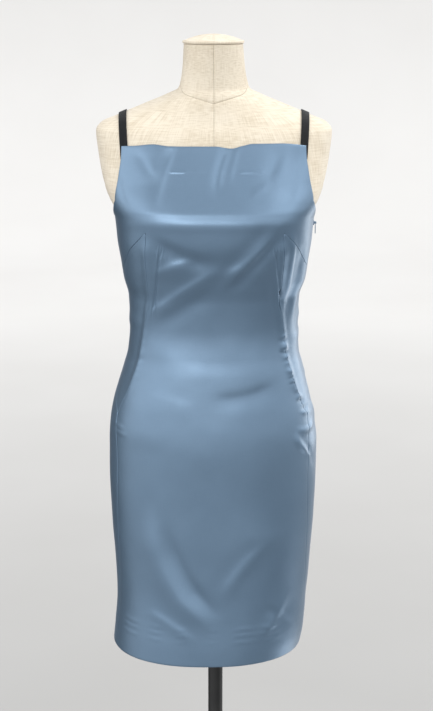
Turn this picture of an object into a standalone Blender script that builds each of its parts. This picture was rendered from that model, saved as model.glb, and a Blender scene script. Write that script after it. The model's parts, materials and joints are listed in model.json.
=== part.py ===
"""A fitted satin sheath dress with two shoulder straps, on a limbless dress form.

Metres, +Z up. The origin is under the middle of the round base. The dress
faces -Y, and the wearer's left is at +X. Turns are in degrees about the
form's upright axis: 0 is the centre front, 90 the wearer's left, 180 the
centre back.
"""
import math

import bmesh
import bpy
from mathutils import Matrix, Vector

NAME = "sheath_dress_on_form"

# Cloth and seams
CLOTH = 0.0015
SEAM_GAP = 0.0003
SLANT = 0.7
WELD = 0.00001

# Heights of the dress
HEM_Z = 0.470
HIP_Z = 0.885
BUST_SEAM_END_Z = 1.118
APEX_Z = 1.197
APEX_TURN = 42.7
CHEST_Z = 1.242
NECKLINE_Z = 1.327
PANEL_TIP_DROP = 0.004
PANEL_TIP_TURN = 0.6
PANEL_FOOT_RISE = 0.005

# Grid of the cloth
BUST_SEAM_STEPS = 6
CHEST_ROWS = 6
BUST_ROWS = 7
SIDE_ROWS = 12
SIDE_COLUMNS = 5
SKIRT_ROWS = 16
CENTRE_COLUMNS = 22
BACK_COLUMNS = 20
BACK_TOP_ROWS = 5

# Dress form and its stand
FORM_BOTTOM_Z = 0.735
FORM_TOP_Z = 1.480
FORM_SIDES = 36
FORM_STEP = 0.036
CAP_RADIUS = 0.0490
CAP_EDGE = 0.0060
CAP_DOME = 0.0100
POLE_RADIUS = 0.0125
BASE_RADIUS = 0.195
BASE_EDGE = 0.006
BASE_THICK = 0.010
BASE_FLAT = 0.75
TURNED_SIDES = 32

# Shoulder straps
STRAP_WIDTH = 0.012
STRAP_THICK = 0.0012
STRAP_OFF_FORM = 0.0014
STRAP_BACK_RISE = 0.0018
STRAP_STEPS = 26
STRAP_CENTRE_Y = 0.004
STRAP_CENTRE_Z = 1.250
STRAP_FRONT_ANGLE = 38.0
STRAP_BACK_ANGLE = 195.0
STRAP_X = 0.140
STRAP_SHIFT = -0.002
STRAP_SPREAD = 0.007
STRAP_CREST = 0.5
STRAP_CLOSE = 0.040
STRAP_CLOSE_FROM = 0.45
STRAP_CLOSE_POWER = 1.6
STRAP_RISE_FROM = 0.8
STRAP_REACH = 0.2
STRAP_HALVINGS = 34

# Zip in the wearer's left side seam
ZIP_TOP_Z = 1.203
ZIP_BOTTOM_Z = 0.905
ZIP_TAPE = 0.024
ZIP_THICK = 0.0008
ZIP_BEHIND = 0.0018
SLIDER_Z = 1.196
SLIDER_TALL = 0.008
SLIDER_WIDE = 0.0056
SLIDER_DEEP = 0.0020
EAR_THICK = 0.0010
EAR_REACH = 0.0016
PIN_RADIUS = 0.0006
PIN_OUT = 0.0020
EYE_RADIUS = 0.0014
EYE_WIDE = 0.0030
EYE_BORE = 0.0009
TAB_LONG = 0.018
TAB_WIDE = 0.0052
TAB_THICK = 0.0010
TAB_NECK_LONG = 0.004
TAB_NECK_DROP = 0.003
BLADE_TOP = 0.0035
BLADE_SHOULDER = 0.003
JOIN = 0.0002

# The form at each height, from the hem up. Below the form's own end the rows
# give the hang of the skirt. Ease is how far the cloth's outside stands off.
FORM_NAMES = ("z", "half", "shift", "middle", "front", "back",
              "front_square", "back_square", "ease")
FORM = (
    (0.470, 0.1540, -0.0145, 0.020, 0.1320, 0.080, 2.3, 2.3, 0.0080),
    (0.500, 0.1550, -0.0105, 0.018, 0.1300, 0.082, 2.3, 2.3, 0.0080),
    (0.550, 0.1545, -0.0065, 0.016, 0.1260, 0.086, 2.3, 2.3, 0.0080),
    (0.600, 0.1570, -0.0050, 0.014, 0.1230, 0.091, 2.3, 2.3, 0.0080),
    (0.700, 0.1635, -0.0045, 0.012, 0.1220, 0.100, 2.3, 2.3, 0.0080),
    (0.770, 0.1660, -0.0045, 0.012, 0.1230, 0.107, 2.3, 2.3, 0.0080),
    (0.830, 0.1660, -0.0040, 0.012, 0.1240, 0.110, 2.3, 2.3, 0.0080),
    (0.870, 0.1620, -0.0050, 0.012, 0.1220, 0.106, 2.4, 2.3, 0.0080),
    (0.900, 0.1565, -0.0050, 0.011, 0.1180, 0.098, 2.4, 2.3, 0.0080),
    (0.930, 0.1485, -0.0045, 0.010, 0.1130, 0.088, 2.4, 2.3, 0.0080),
    (0.960, 0.1405, -0.0035, 0.009, 0.1080, 0.078, 2.4, 2.3, 0.0080),
    (0.990, 0.1330, -0.0030, 0.008, 0.1030, 0.070, 2.4, 2.3, 0.0080),
    (1.035, 0.1300, -0.0020, 0.006, 0.0980, 0.066, 2.4, 2.3, 0.0080),
    (1.080, 0.1320, -0.0020, 0.004, 0.1000, 0.069, 2.5, 2.3, 0.0080),
    (1.110, 0.1400, -0.0010, 0.002, 0.1060, 0.075, 2.6, 2.3, 0.0080),
    (1.140, 0.1440, -0.0010, 0.000, 0.1150, 0.082, 2.7, 2.4, 0.0080),
    (1.170, 0.1485, -0.0010, 0.000, 0.1230, 0.086, 2.8, 2.4, 0.0080),
    (1.211, 0.1530, -0.0010, 0.000, 0.1290, 0.088, 2.9, 2.4, 0.0075),
    (1.240, 0.1690, -0.0015, 0.002, 0.1190, 0.091, 2.8, 2.4, 0.0060),
    (1.270, 0.1800, -0.0020, 0.004, 0.1060, 0.091, 2.7, 2.4, 0.0055),
    (1.310, 0.1870, -0.0020, 0.004, 0.0890, 0.088, 2.6, 2.5, 0.0052),
    (1.345, 0.1905, -0.0020, 0.004, 0.0760, 0.080, 2.6, 2.6, 0.0050),
    (1.358, 0.1810, -0.0020, 0.004, 0.0700, 0.073, 2.5, 2.5, 0.0045),
    (1.370, 0.1530, -0.0020, 0.004, 0.0660, 0.068, 2.3, 2.3, 0.0045),
    (1.388, 0.1100, -0.0020, 0.004, 0.0600, 0.062, 2.1, 2.1, 0.0045),
    (1.402, 0.0760, -0.0020, 0.004, 0.0560, 0.059, 2.0, 2.0, 0.0045),
    (1.412, 0.0570, -0.0020, 0.003, 0.0510, 0.055, 2.0, 2.0, 0.0045),
    (1.440, 0.0505, -0.0025, 0.001, 0.0480, 0.049, 2.0, 2.0, 0.0045),
    (1.480, 0.0475, -0.0030, 0.000, 0.0475, 0.0475, 2.0, 2.0, 0.0045),
)

# Seams: a height and the turn of the seam there
BUST_SEAM = (
    (1.118, 90.0), (1.126, 78.0), (1.139, 68.0), (1.157, 60.0),
    (1.171, 54.0), (1.184, 48.0), (1.197, 42.7),
)
PRINCESS_SEAM = (
    (0.885, 69.0), (0.918, 64.2), (0.940, 61.2), (0.960, 59.2), (0.985, 57.8), (1.011, 56.8),
    (1.037, 55.4), (1.060, 53.0), (1.081, 50.4), (1.112, 47.8), (1.150, 45.0), (1.186, 42.9),
    (1.197, 42.7),
)
SIDE_SEAM = (
    (0.470, 78.0), (0.600, 72.0), (0.700, 69.0), (0.800, 67.0), (0.885, 69.0),
    (0.915, 78.0), (0.950, 87.0), (1.035, 91.0), (1.118, 90.0), (1.211, 90.0),
)
# Armhole edge of the front: its upper part by height, its lower part by turn
ARMHOLE = ((1.242, 62.2), (1.267, 61.4), (1.298, 62.4), (1.327, 64.2))
UNDERARM = ((62.2, 1.242), (66.5, 1.228), (73.0, 1.217), (81.0, 1.212), (90.0, 1.211))
# Top edge of the back: turn from a side seam, height
BACK_EDGE = ((0.0, 1.211), (15.0, 1.223), (40.0, 1.236), (60.0, 1.237), (90.0, 1.231))
# Top edge of the front: x on the photo's left to right, rise above NECKLINE_Z
NECK_WAVE = (
    (-0.150, -0.001), (-0.126, 0.000), (-0.097, 0.003), (-0.070, 0.000), (0.000, 0.000),
    (0.023, -0.003), (0.043, 0.001), (0.060, 0.004), (0.103, 0.004), (0.150, -0.001),
)

# Largest folds of the front: name, start x and z, end x and z, bow, width, height
FOLDS = (
    ("bust_line", -0.118, 1.216, 0.118, 1.217, -0.005, 0.010, 0.0030),
    ("hollow_left", -0.090, 1.186, -0.004, 1.147, -0.006, 0.013, -0.0045),
    ("pull_left_high", -0.088, 1.134, -0.040, 1.150, 0.003, 0.007, 0.0020),
    ("pull_left", -0.098, 1.059, -0.003, 1.131, 0.004, 0.008, 0.0035),
    ("hollow_right", 0.086, 1.198, 0.018, 1.142, 0.004, 0.010, -0.0030),
    ("pull_right", 0.094, 1.200, 0.016, 1.114, 0.002, 0.006, 0.0035),
    ("belly_left", -0.105, 1.010, 0.000, 0.957, 0.006, 0.013, 0.0035),
    ("belly_right", 0.000, 0.955, 0.108, 0.985, -0.006, 0.014, 0.0030),
    ("belly_hollow", 0.020, 0.928, 0.078, 0.945, 0.000, 0.010, -0.0020),
    ("skirt_left", -0.104, 0.720, -0.028, 0.548, -0.022, 0.011, 0.0055),
    ("skirt_left_hollow", -0.072, 0.665, -0.008, 0.575, -0.012, 0.011, -0.0040),
    ("skirt_right", 0.102, 0.700, 0.018, 0.598, -0.012, 0.016, 0.0025),
    ("neck_pleat_left", -0.096, 1.326, -0.095, 1.284, 0.000, 0.017, 0.0022),
    ("neck_left", -0.066, 1.326, -0.100, 1.226, -0.006, 0.008, -0.0020),
    ("neck_middle", 0.024, 1.326, 0.004, 1.258, -0.004, 0.008, -0.0020),
    ("neck_right", 0.102, 1.318, 0.084, 1.280, 0.002, 0.007, -0.0018),
    ("armhole_right", 0.134, 1.322, 0.110, 1.230, 0.002, 0.006, -0.0025),
)

# Corners of the back that stand away at the underarms: name, turn, z, width, height
CORNERS = (
    ("left_corner", 97.0, 1.188, 0.010, 0.0050),
    ("right_corner", -97.0, 1.199, 0.010, 0.0050),
)
CORNER_RADIUS = 0.16


def smooth_value(rows, key, column):
    """Read a table between its rows, on a curve that never overshoots them."""
    keys = [row[0] for row in rows]
    key = min(max(key, keys[0]), keys[-1])
    upper = next(i for i in range(1, len(keys)) if keys[i] >= key)
    lower = upper - 1

    def slope(i):
        if i == 0 or i == len(keys) - 1:
            near = 0 if i == 0 else i - 1
            return (rows[near + 1][column] - rows[near][column]) / (keys[near + 1] - keys[near])
        before = (rows[i][column] - rows[i - 1][column]) / (keys[i] - keys[i - 1])
        after = (rows[i + 1][column] - rows[i][column]) / (keys[i + 1] - keys[i])
        if before * after <= 0.0:
            return 0.0
        return 2.0 * before * after / (before + after)

    span = keys[upper] - keys[lower]
    t = (key - keys[lower]) / span
    start, end = rows[lower][column], rows[upper][column]
    rise = start * (2 * t**3 - 3 * t**2 + 1) + end * (3 * t**2 - 2 * t**3)
    lean = slope(lower) * (t**3 - 2 * t**2 + t) + slope(upper) * (t**3 - t**2)
    return rise + lean * span


def form_row(z):
    """The form's section at one height, as named values."""
    names = FORM_NAMES[1:]
    return {name: smooth_value(FORM, z, column) for column, name in enumerate(names, start=1)}


def surface_point(z, turn, out):
    """A point on the form's section, moved out by a distance."""
    row = form_row(z)
    side, ahead = math.sin(math.radians(turn)), math.cos(math.radians(turn))
    face = "front" if ahead > 0.0 else "back"
    square = row[face + "_square"]
    half, depth = row["half"] + out, row[face] + out
    reach = (abs(side) / half) ** square + (abs(ahead) / depth) ** square
    radius = reach ** (-1.0 / square)
    return Vector((row["shift"] + radius * side, row["middle"] - radius * ahead, z))


def fold_height(x, z):
    """How far the folds of the front lift the cloth at a place seen from ahead."""
    height = 0.0
    for _, x1, z1, x2, z2, bow, width, rise in FOLDS:
        along_x, along_z = x2 - x1, z2 - z1
        length = math.hypot(along_x, along_z)
        t = ((x - x1) * along_x + (z - z1) * along_z) / length**2
        across = ((x - x1) * -along_z + (z - z1) * along_x) / length
        away = (across - bow * 4.0 * t * (1.0 - t)) / width
        past = max(0.0, -t, t - 1.0) * length / width
        height += rise * math.exp(-away**2 - past**2)
    return height


def corner_height(z, turn):
    """How far the back's upper corners stand away at a place."""
    height = 0.0
    for _, corner_turn, corner_z, width, rise in CORNERS:
        aside = math.radians(turn - corner_turn) * CORNER_RADIUS
        height += rise * math.exp(-(math.hypot(aside, z - corner_z) / width) ** 2)
    return height


def cloth_point(z, turn, out=0.0):
    """A point on the outside of the dress."""
    turn = (turn + 180.0) % 360.0 - 180.0
    ease = smooth_value(FORM, z, FORM_NAMES.index("ease"))
    point = surface_point(z, turn, ease + out)
    facing = max(0.0, math.cos(math.radians(turn))) ** 0.5
    lift = fold_height(point.x, z) * facing + corner_height(z, turn)
    outward = Vector((math.sin(math.radians(turn)), -math.cos(math.radians(turn)), 0.0))
    return point + outward * lift


def half_gap_turn(z):
    """Half a seam gap, as a turn, with a little more for slanted seams."""
    return math.degrees(SLANT * SEAM_GAP / (form_row(z)["half"] + CLOTH))


def seam_levels():
    """Heights of the rows that the lower pieces share, from the apex to the hem."""
    levels = []
    for step in range(BUST_SEAM_STEPS + 1):
        turn = APEX_TURN + (90.0 - APEX_TURN) * step / BUST_SEAM_STEPS
        levels.append(bust_seam_z(turn))
    for step in range(1, SIDE_ROWS + 1):
        levels.append(BUST_SEAM_END_Z + (HIP_Z - BUST_SEAM_END_Z) * step / SIDE_ROWS)
    for step in range(1, SKIRT_ROWS + 1):
        levels.append(HIP_Z + (HEM_Z - HIP_Z) * step / SKIRT_ROWS)
    return levels


def bust_seam_z(turn):
    """Height of the bust seam at a turn."""
    by_turn = tuple((row[1], row[0]) for row in reversed(BUST_SEAM))
    return smooth_value(by_turn, turn, 1)


def front_edge_turn(z):
    """Turn of the front's side edge below the apexes."""
    return smooth_value(PRINCESS_SEAM if z > HIP_Z else SIDE_SEAM, z, 1)


def neckline_z(turn):
    """Height of the wavy top edge of the front."""
    x = surface_point(NECKLINE_Z, turn, form_row(NECKLINE_Z)["ease"]).x
    return NECKLINE_Z + smooth_value(NECK_WAVE, x, 1)


def chest_place(across, down):
    """The front from the neckline to the chest line, between the armholes."""
    sideways = 2.0 * across - 1.0
    edge = smooth_value(ARMHOLE, NECKLINE_Z + (CHEST_Z - NECKLINE_Z) * down, 1)
    top = neckline_z(edge * sideways)
    return cloth_point(top + (CHEST_Z - top) * down, edge * sideways)


def bust_edges(across):
    """Height and turn on the chest line and underarm, then on the bust seam and apex line."""
    columns = CENTRE_COLUMNS + 2 * BUST_SEAM_STEPS
    from_side = min(across, 1.0 - across) * columns
    side = -1.0 if across < 0.5 else 1.0
    chest_turn = UNDERARM[0][0]
    if from_side < BUST_SEAM_STEPS:
        share = from_side / BUST_SEAM_STEPS
        turn = 90.0 + (chest_turn - 90.0) * share
        foot = 90.0 + (APEX_TURN - 90.0) * share
        foot_z = bust_seam_z(foot) + SLANT * SEAM_GAP
        return smooth_value(UNDERARM, turn, 1), side * turn, foot_z, side * foot
    sideways = 2.0 * (across * columns - BUST_SEAM_STEPS) / CENTRE_COLUMNS - 1.0
    return CHEST_Z, chest_turn * sideways, APEX_Z, APEX_TURN * sideways


def bust_place(across, down):
    """The front from the chest line to the bust seams and the apexes."""
    top_z, top_turn, foot_z, foot_turn = bust_edges(across)
    z = top_z + (foot_z - top_z) * down
    gap = half_gap_turn(z)
    if abs(foot_turn) <= APEX_TURN:
        gap *= down
    turn = top_turn + (foot_turn - top_turn) * down
    return cloth_point(z, turn * (1.0 - gap / 90.0))


def skirt_place(across, down):
    """The front from the line between the apexes to the hem."""
    levels = seam_levels()
    z = levels[round(down * (len(levels) - 1))]
    edge = front_edge_turn(z) - half_gap_turn(z)
    if z == levels[0]:
        edge = APEX_TURN * (1.0 - half_gap_turn(z) / 90.0)
    return cloth_point(z, edge * (2.0 * across - 1.0))


def side_panel_place(side):
    """A side panel, between the princess, bust and side seams of one side."""
    levels = seam_levels()[:BUST_SEAM_STEPS + SIDE_ROWS + 1]

    def place(across, down):
        index = round(down * (len(levels) - 1))
        z = levels[index]
        if index == len(levels) - 1:
            z += PANEL_FOOT_RISE
        near = smooth_value(PRINCESS_SEAM, z, 1) + half_gap_turn(z)
        far = smooth_value(SIDE_SEAM, z, 1) - half_gap_turn(z)
        if index < BUST_SEAM_STEPS:
            far = APEX_TURN + (90.0 - APEX_TURN) * index / BUST_SEAM_STEPS
            z -= SLANT * SEAM_GAP
        if index == 0:
            z -= PANEL_TIP_DROP
            near += 0.5 * PANEL_TIP_TURN
            far = near + PANEL_TIP_TURN
        share = across if side > 0 else 1.0 - across
        return cloth_point(z, side * (near + (far - near) * share))

    return place


def back_place(across, down):
    """The back, from its straight top edge to the hem."""
    levels = seam_levels()[BUST_SEAM_STEPS:]
    rows = BACK_TOP_ROWS + len(levels) - 1
    row = round(down * rows)
    if row >= BACK_TOP_ROWS:
        z = levels[row - BACK_TOP_ROWS]
    else:
        from_side = 90.0 - abs(2.0 * across - 1.0) * 90.0
        top = smooth_value(BACK_EDGE, from_side, 1)
        z = top + (BUST_SEAM_END_Z - top) * row / BACK_TOP_ROWS
    seam = smooth_value(SIDE_SEAM, z, 1) + half_gap_turn(z)
    return cloth_point(z, seam + (360.0 - 2.0 * seam) * across)


def finish(name, colour, roughness, metallic):
    """A plain material with the piece's colour."""
    material = bpy.data.materials.new(name)
    material.use_nodes = True
    shader = material.node_tree.nodes["Principled BSDF"]
    shader.inputs["Base Color"].default_value = (*colour, 1.0)
    shader.inputs["Roughness"].default_value = roughness
    shader.inputs["Metallic"].default_value = metallic
    return material


def add_object(name, data, material, collection):
    """Put a mesh or curve in the part under its node's name."""
    piece = bpy.data.objects.new(name, data)
    data.materials.append(material)
    collection.objects.link(piece)
    return piece


def grid_mesh(name, patches):
    """One mesh of welded grids, each placed by its own function."""
    work = bmesh.new()
    for columns, rows, place in patches:
        grid = bmesh.ops.create_grid(work, x_segments=columns, y_segments=rows, size=0.5)
        for vertex in grid["verts"]:
            vertex.co = place(vertex.co.x + 0.5, 0.5 - vertex.co.y)
    bmesh.ops.remove_doubles(work, verts=work.verts, dist=WELD)
    mesh = bpy.data.meshes.new(name)
    work.to_mesh(mesh)
    work.free()
    mesh.shade_smooth()
    return mesh


def add_wall(piece, thickness):
    """Give an open sheet its thickness, on its inner side."""
    wall = piece.modifiers.new("wall", "SOLIDIFY")
    wall.thickness = thickness
    wall.offset = -1.0
    wall.use_even_offset = False
    return wall


def make_dress(collection):
    """Front, two side panels and back."""
    satin = finish("blue_satin", (0.165, 0.265, 0.375), 0.38, 0.0)
    side_rows = BUST_SEAM_STEPS + SIDE_ROWS
    panels = {
        "front": (
            (CENTRE_COLUMNS, CHEST_ROWS, chest_place),
            (CENTRE_COLUMNS + 2 * BUST_SEAM_STEPS, BUST_ROWS, bust_place),
            (CENTRE_COLUMNS, side_rows + SKIRT_ROWS, skirt_place),
        ),
        "back": ((BACK_COLUMNS, BACK_TOP_ROWS + SIDE_ROWS + SKIRT_ROWS, back_place),),
        "side_panel_left": ((SIDE_COLUMNS, side_rows, side_panel_place(1.0)),),
        "side_panel_right": ((SIDE_COLUMNS, side_rows, side_panel_place(-1.0)),),
    }
    for name, patches in panels.items():
        add_wall(add_object(name, grid_mesh(name, patches), satin, collection), CLOTH)


def inside_form(x, y, z):
    """Whether a point is inside the form."""
    if z >= FORM_TOP_Z:
        return False
    row = form_row(z)
    face = "front" if y < row["middle"] else "back"
    square = row[face + "_square"]
    sideways = abs(x - row["shift"]) / row["half"]
    return sideways**square + (abs(y - row["middle"]) / row[face])**square < 1.0


def strap_place(side):
    """A strap over one shoulder, from inside the neckline to inside the back."""
    def place(across, along):
        angle = math.radians(STRAP_FRONT_ANGLE + (STRAP_BACK_ANGLE - STRAP_FRONT_ANGLE) * along)
        inward = max(0.0, along - STRAP_CLOSE_FROM) / (1.0 - STRAP_CLOSE_FROM)
        spread = STRAP_SPREAD * math.sin(0.5 * math.pi * min(along / STRAP_CREST, 1.0))
        centre = STRAP_X + spread - STRAP_CLOSE * inward**STRAP_CLOSE_POWER
        x = STRAP_SHIFT + side * (centre + STRAP_WIDTH * (across - 0.5))
        near, far = 0.0, STRAP_REACH
        for _ in range(STRAP_HALVINGS):
            radius = 0.5 * (near + far)
            y = STRAP_CENTRE_Y - radius * math.cos(angle)
            z = STRAP_CENTRE_Z + radius * math.sin(angle)
            if inside_form(x, y, z):
                near = radius
            else:
                far = radius
        risen = max(0.0, along - STRAP_RISE_FROM) / (1.0 - STRAP_RISE_FROM)
        radius += STRAP_OFF_FORM + STRAP_THICK + STRAP_BACK_RISE * risen
        y = STRAP_CENTRE_Y - radius * math.cos(angle)
        z = STRAP_CENTRE_Z + radius * math.sin(angle)
        return Vector((x, y, z))

    return place


def make_straps(collection):
    """Two narrow elastic straps."""
    elastic = finish("black_elastic", (0.016, 0.017, 0.019), 0.75, 0.0)
    for name, side in (("strap_left", 1.0), ("strap_right", -1.0)):
        lay = strap_place(side)

        def place(across, along, lay=lay, side=side):
            return lay(across if side > 0 else 1.0 - across, 1.0 - along)

        mesh = grid_mesh(name, ((2, STRAP_STEPS, place),))
        add_wall(add_object(name, mesh, elastic, collection), STRAP_THICK)


def make_form(collection):
    """The linen torso, lofted up through its sections and closed at both ends."""
    linen = finish("linen", (0.76, 0.69, 0.57), 0.9, 0.0)
    heights = [FORM_BOTTOM_Z]
    for lower, upper in zip(FORM, FORM[1:]):
        if upper[0] > FORM_BOTTOM_Z:
            start = max(lower[0], FORM_BOTTOM_Z)
            if start > heights[-1]:
                heights.append(start)
            if upper[0] - start > FORM_STEP:
                heights.append(0.5 * (start + upper[0]))
    heights.append(FORM_TOP_Z)
    work = bmesh.new()
    ring = bmesh.ops.create_circle(work, segments=FORM_SIDES, radius=1.0, cap_ends=True)["verts"]
    for level, z in enumerate(heights):
        if level:
            rim = [edge for edge in work.edges if all(v in ring for v in edge.verts)]
            grown = bmesh.ops.extrude_edge_only(work, edges=rim)["geom"]
            ring = [item for item in grown if isinstance(item, bmesh.types.BMVert)]
        for vertex in ring:
            turn = vertex_turn(vertex) if level else math.degrees(math.atan2(vertex.co.x, -vertex.co.y))
            vertex.co = surface_point(z, turn, 0.0)
    bmesh.ops.contextual_create(work, geom=ring)
    bmesh.ops.recalc_face_normals(work, faces=work.faces)
    mesh = bpy.data.meshes.new("form_torso")
    work.to_mesh(mesh)
    work.free()
    mesh.shade_smooth()
    add_object("form_torso", mesh, linen, collection)
    return linen


def vertex_turn(vertex):
    """Turn of a point about the form's axis at its own height."""
    row = form_row(vertex.co.z)
    return math.degrees(math.atan2(vertex.co.x - row["shift"], row["middle"] - vertex.co.y))


def turned(name, profile, steps, material, collection):
    """A turned piece: a profile at +X, from its top to its bottom, round the axis."""
    work = bmesh.new()
    points = [work.verts.new((radius, 0.0, z)) for radius, z in profile]
    for start, end in zip(points, points[1:]):
        work.edges.new((start, end))
    mesh = bpy.data.meshes.new(name)
    work.to_mesh(mesh)
    work.free()
    piece = add_object(name, mesh, material, collection)
    screw = piece.modifiers.new("turn", "SCREW")
    screw.steps = steps
    screw.render_steps = steps
    screw.use_merge_vertices = True
    screw.merge_threshold = WELD
    return piece


def arc(centre_x, centre_z, radius, start, end, steps):
    """Points along an arc, in degrees from +X towards +Z."""
    turns = [math.radians(start + (end - start) * i / steps) for i in range(steps + 1)]
    return [(centre_x + radius * math.cos(a), centre_z + radius * math.sin(a)) for a in turns]


def make_stand(linen, collection):
    """Neck cap, pole and round base."""
    black = finish("black_paint", (0.012, 0.012, 0.011), 0.45, 0.0)
    floor = FORM_TOP_Z + SEAM_GAP
    dome_radius = (CAP_RADIUS**2 + CAP_DOME**2) / (2.0 * CAP_DOME)
    dome_turn = math.degrees(math.asin(CAP_RADIUS / dome_radius))
    dome_centre = floor + CAP_EDGE + CAP_DOME - dome_radius
    dome = arc(0.0, dome_centre, dome_radius, 90.0, 90.0 - dome_turn, 5)
    cap_rim = [(CAP_RADIUS, floor), (0.0, floor)]
    cap = turned("form_neck_cap", dome + cap_rim, TURNED_SIDES, linen, collection)
    cap.location.x = form_row(FORM_TOP_Z)["shift"]
    edge = 0.5 * BASE_EDGE
    plate = [(0.0, BASE_THICK), (BASE_RADIUS * BASE_FLAT, BASE_THICK)]
    plate += arc(BASE_RADIUS - edge, edge, edge, 90.0, -90.0, 4)
    plate += [(0.0, 0.0)]
    turned("form_base", plate, 40, black, collection)
    pole_foot = BASE_THICK + SEAM_GAP
    pole_top = FORM_BOTTOM_Z - SEAM_GAP
    work = bmesh.new()
    bmesh.ops.create_cone(work, cap_ends=True, segments=TURNED_SIDES, radius1=POLE_RADIUS,
                          radius2=POLE_RADIUS, depth=pole_top - pole_foot)
    bmesh.ops.translate(work, verts=work.verts, vec=(0.0, 0.0, 0.5 * (pole_foot + pole_top)))
    mesh = bpy.data.meshes.new("form_pole")
    work.to_mesh(mesh)
    work.free()
    add_object("form_pole", mesh, black, collection)


def zip_place(across, down):
    """The zip's tape, on the inner side of the wearer's left side seam."""
    z = ZIP_TOP_Z + (ZIP_BOTTOM_Z - ZIP_TOP_Z) * down
    seam = smooth_value(SIDE_SEAM, z, 1)
    row = form_row(z)
    reach = math.degrees(ZIP_TAPE / row["half"])
    return surface_point(z, seam + reach * (across - 0.5), row["ease"] - CLOTH - ZIP_BEHIND)


def box_mesh(name, size, centre):
    """A box of a given size about a centre."""
    work = bmesh.new()
    place = Matrix.Translation(centre) @ Matrix.Diagonal((*size, 1.0))
    bmesh.ops.create_cube(work, size=1.0, matrix=place)
    mesh = bpy.data.meshes.new(name)
    work.to_mesh(mesh)
    work.free()
    return mesh


def rod_mesh(name, radius, length, centre):
    """A rod along Y about a centre."""
    work = bmesh.new()
    place = Matrix.Translation(centre) @ Matrix.Rotation(math.radians(90.0), 4, "X")
    bmesh.ops.create_cone(work, cap_ends=True, segments=16, radius1=radius, radius2=radius,
                          depth=length, matrix=place)
    mesh = bpy.data.meshes.new(name)
    work.to_mesh(mesh)
    work.free()
    return mesh


def combine(piece, tool, operation):
    """Join a hidden tool to a piece, or cut it from the piece."""
    tool.hide_render = True
    tool.display_type = "WIRE"
    step = piece.modifiers.new(tool.name, "BOOLEAN")
    step.operation = operation
    step.solver = "EXACT"
    step.object = tool


def make_zip(collection, cutters):
    """Concealed zip: its tape, its slider at the top, and the hinged pull tab."""
    enamel = finish("zip_enamel", (0.10, 0.17, 0.25), 0.4, 0.0)
    tape = finish("zip_tape", (0.13, 0.21, 0.30), 0.8, 0.0)
    tape_mesh = grid_mesh("zip_tape", ((4, 16, zip_place),))
    add_wall(add_object("zip_tape", tape_mesh, tape, collection), ZIP_THICK)

    slider_ends = (SLIDER_Z - 0.5 * SLIDER_TALL, SLIDER_Z + 0.5 * SLIDER_TALL)
    face = max(cloth_point(z, 90.0).x for z in slider_ends)
    back_x = face + SEAM_GAP
    seam_y = cloth_point(SLIDER_Z, 90.0).y
    front_x = back_x + SLIDER_DEEP
    pin_x = front_x + PIN_OUT
    pin = Vector((pin_x, seam_y, SLIDER_Z))
    body_size = (SLIDER_DEEP, SLIDER_WIDE, SLIDER_TALL)
    body_centre = Vector((0.5 * (back_x + front_x), seam_y, SLIDER_Z))
    slider = add_object("zip_slider", box_mesh("zip_slider", body_size, body_centre), enamel, collection)
    ear_out = pin_x + EAR_REACH - front_x
    ear_size = (ear_out + 2.0 * JOIN, EAR_THICK, 2.0 * EAR_REACH)
    for name, side in (("front_ear", -1.0), ("back_ear", 1.0)):
        ear_y = seam_y + side * 0.5 * (SLIDER_WIDE - EAR_THICK)
        centre = Vector((front_x + 0.5 * ear_out - JOIN, ear_y, SLIDER_Z))
        ear = add_object(name, box_mesh(name, ear_size, centre), enamel, cutters)
        combine(slider, ear, "UNION")
    pin_rod = add_object("pin", rod_mesh("pin", PIN_RADIUS, SLIDER_WIDE - EAR_THICK, pin), enamel, cutters)
    combine(slider, pin_rod, "UNION")

    hinge = bpy.data.objects.new("tab_hinge", None)
    hinge.location = pin
    collection.objects.link(hinge)
    eye = rod_mesh("zip_tab", EYE_RADIUS, EYE_WIDE, (0.0, 0.0, 0.0))
    tab = add_object("zip_tab", eye, enamel, collection)
    neck_mesh = box_mesh("neck", (TAB_THICK, EYE_WIDE, TAB_NECK_LONG), (0.0, 0.0, -TAB_NECK_DROP))
    neck = add_object("neck", neck_mesh, enamel, cutters)
    blade = add_object("blade", blade_mesh(), enamel, cutters)
    bore_mesh = rod_mesh("bore", EYE_BORE, 2.0 * EYE_WIDE, (0.0, 0.0, 0.0))
    bore = add_object("bore", bore_mesh, enamel, cutters)
    tab.parent = hinge
    for tool, operation in ((neck, "UNION"), (blade, "UNION"), (bore, "DIFFERENCE")):
        tool.parent = hinge
        combine(tab, tool, operation)


def blade_mesh():
    """The tab's flat drop shape, hanging from below the eye."""
    half = 0.5 * TAB_WIDE
    shoulder = -BLADE_TOP - BLADE_SHOULDER
    outline = [(-0.5 * EYE_WIDE, -BLADE_TOP), (-half, shoulder)]
    outline += arc(0.0, half - TAB_LONG, half, 180.0, 360.0, 8)
    outline += [(half, shoulder), (0.5 * EYE_WIDE, -BLADE_TOP)]
    work = bmesh.new()
    rim = [work.verts.new((-0.5 * TAB_THICK, y, z)) for y, z in outline]
    plate = work.faces.new(rim)
    grown = bmesh.ops.extrude_face_region(work, geom=[plate])["geom"]
    moved = [item for item in grown if isinstance(item, bmesh.types.BMVert)]
    bmesh.ops.translate(work, verts=moved, vec=(TAB_THICK, 0.0, 0.0))
    bmesh.ops.recalc_face_normals(work, faces=work.faces)
    mesh = bpy.data.meshes.new("blade")
    work.to_mesh(mesh)
    work.free()
    return mesh


def main():
    for item in list(bpy.data.objects):
        bpy.data.objects.remove(item, do_unlink=True)
    collection = bpy.data.collections.new(NAME)
    cutters = bpy.data.collections.new("cutters")
    bpy.context.scene.collection.children.link(collection)
    bpy.context.scene.collection.children.link(cutters)
    make_dress(collection)
    make_straps(collection)
    make_stand(make_form(collection), collection)
    make_zip(collection, cutters)


main()
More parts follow.
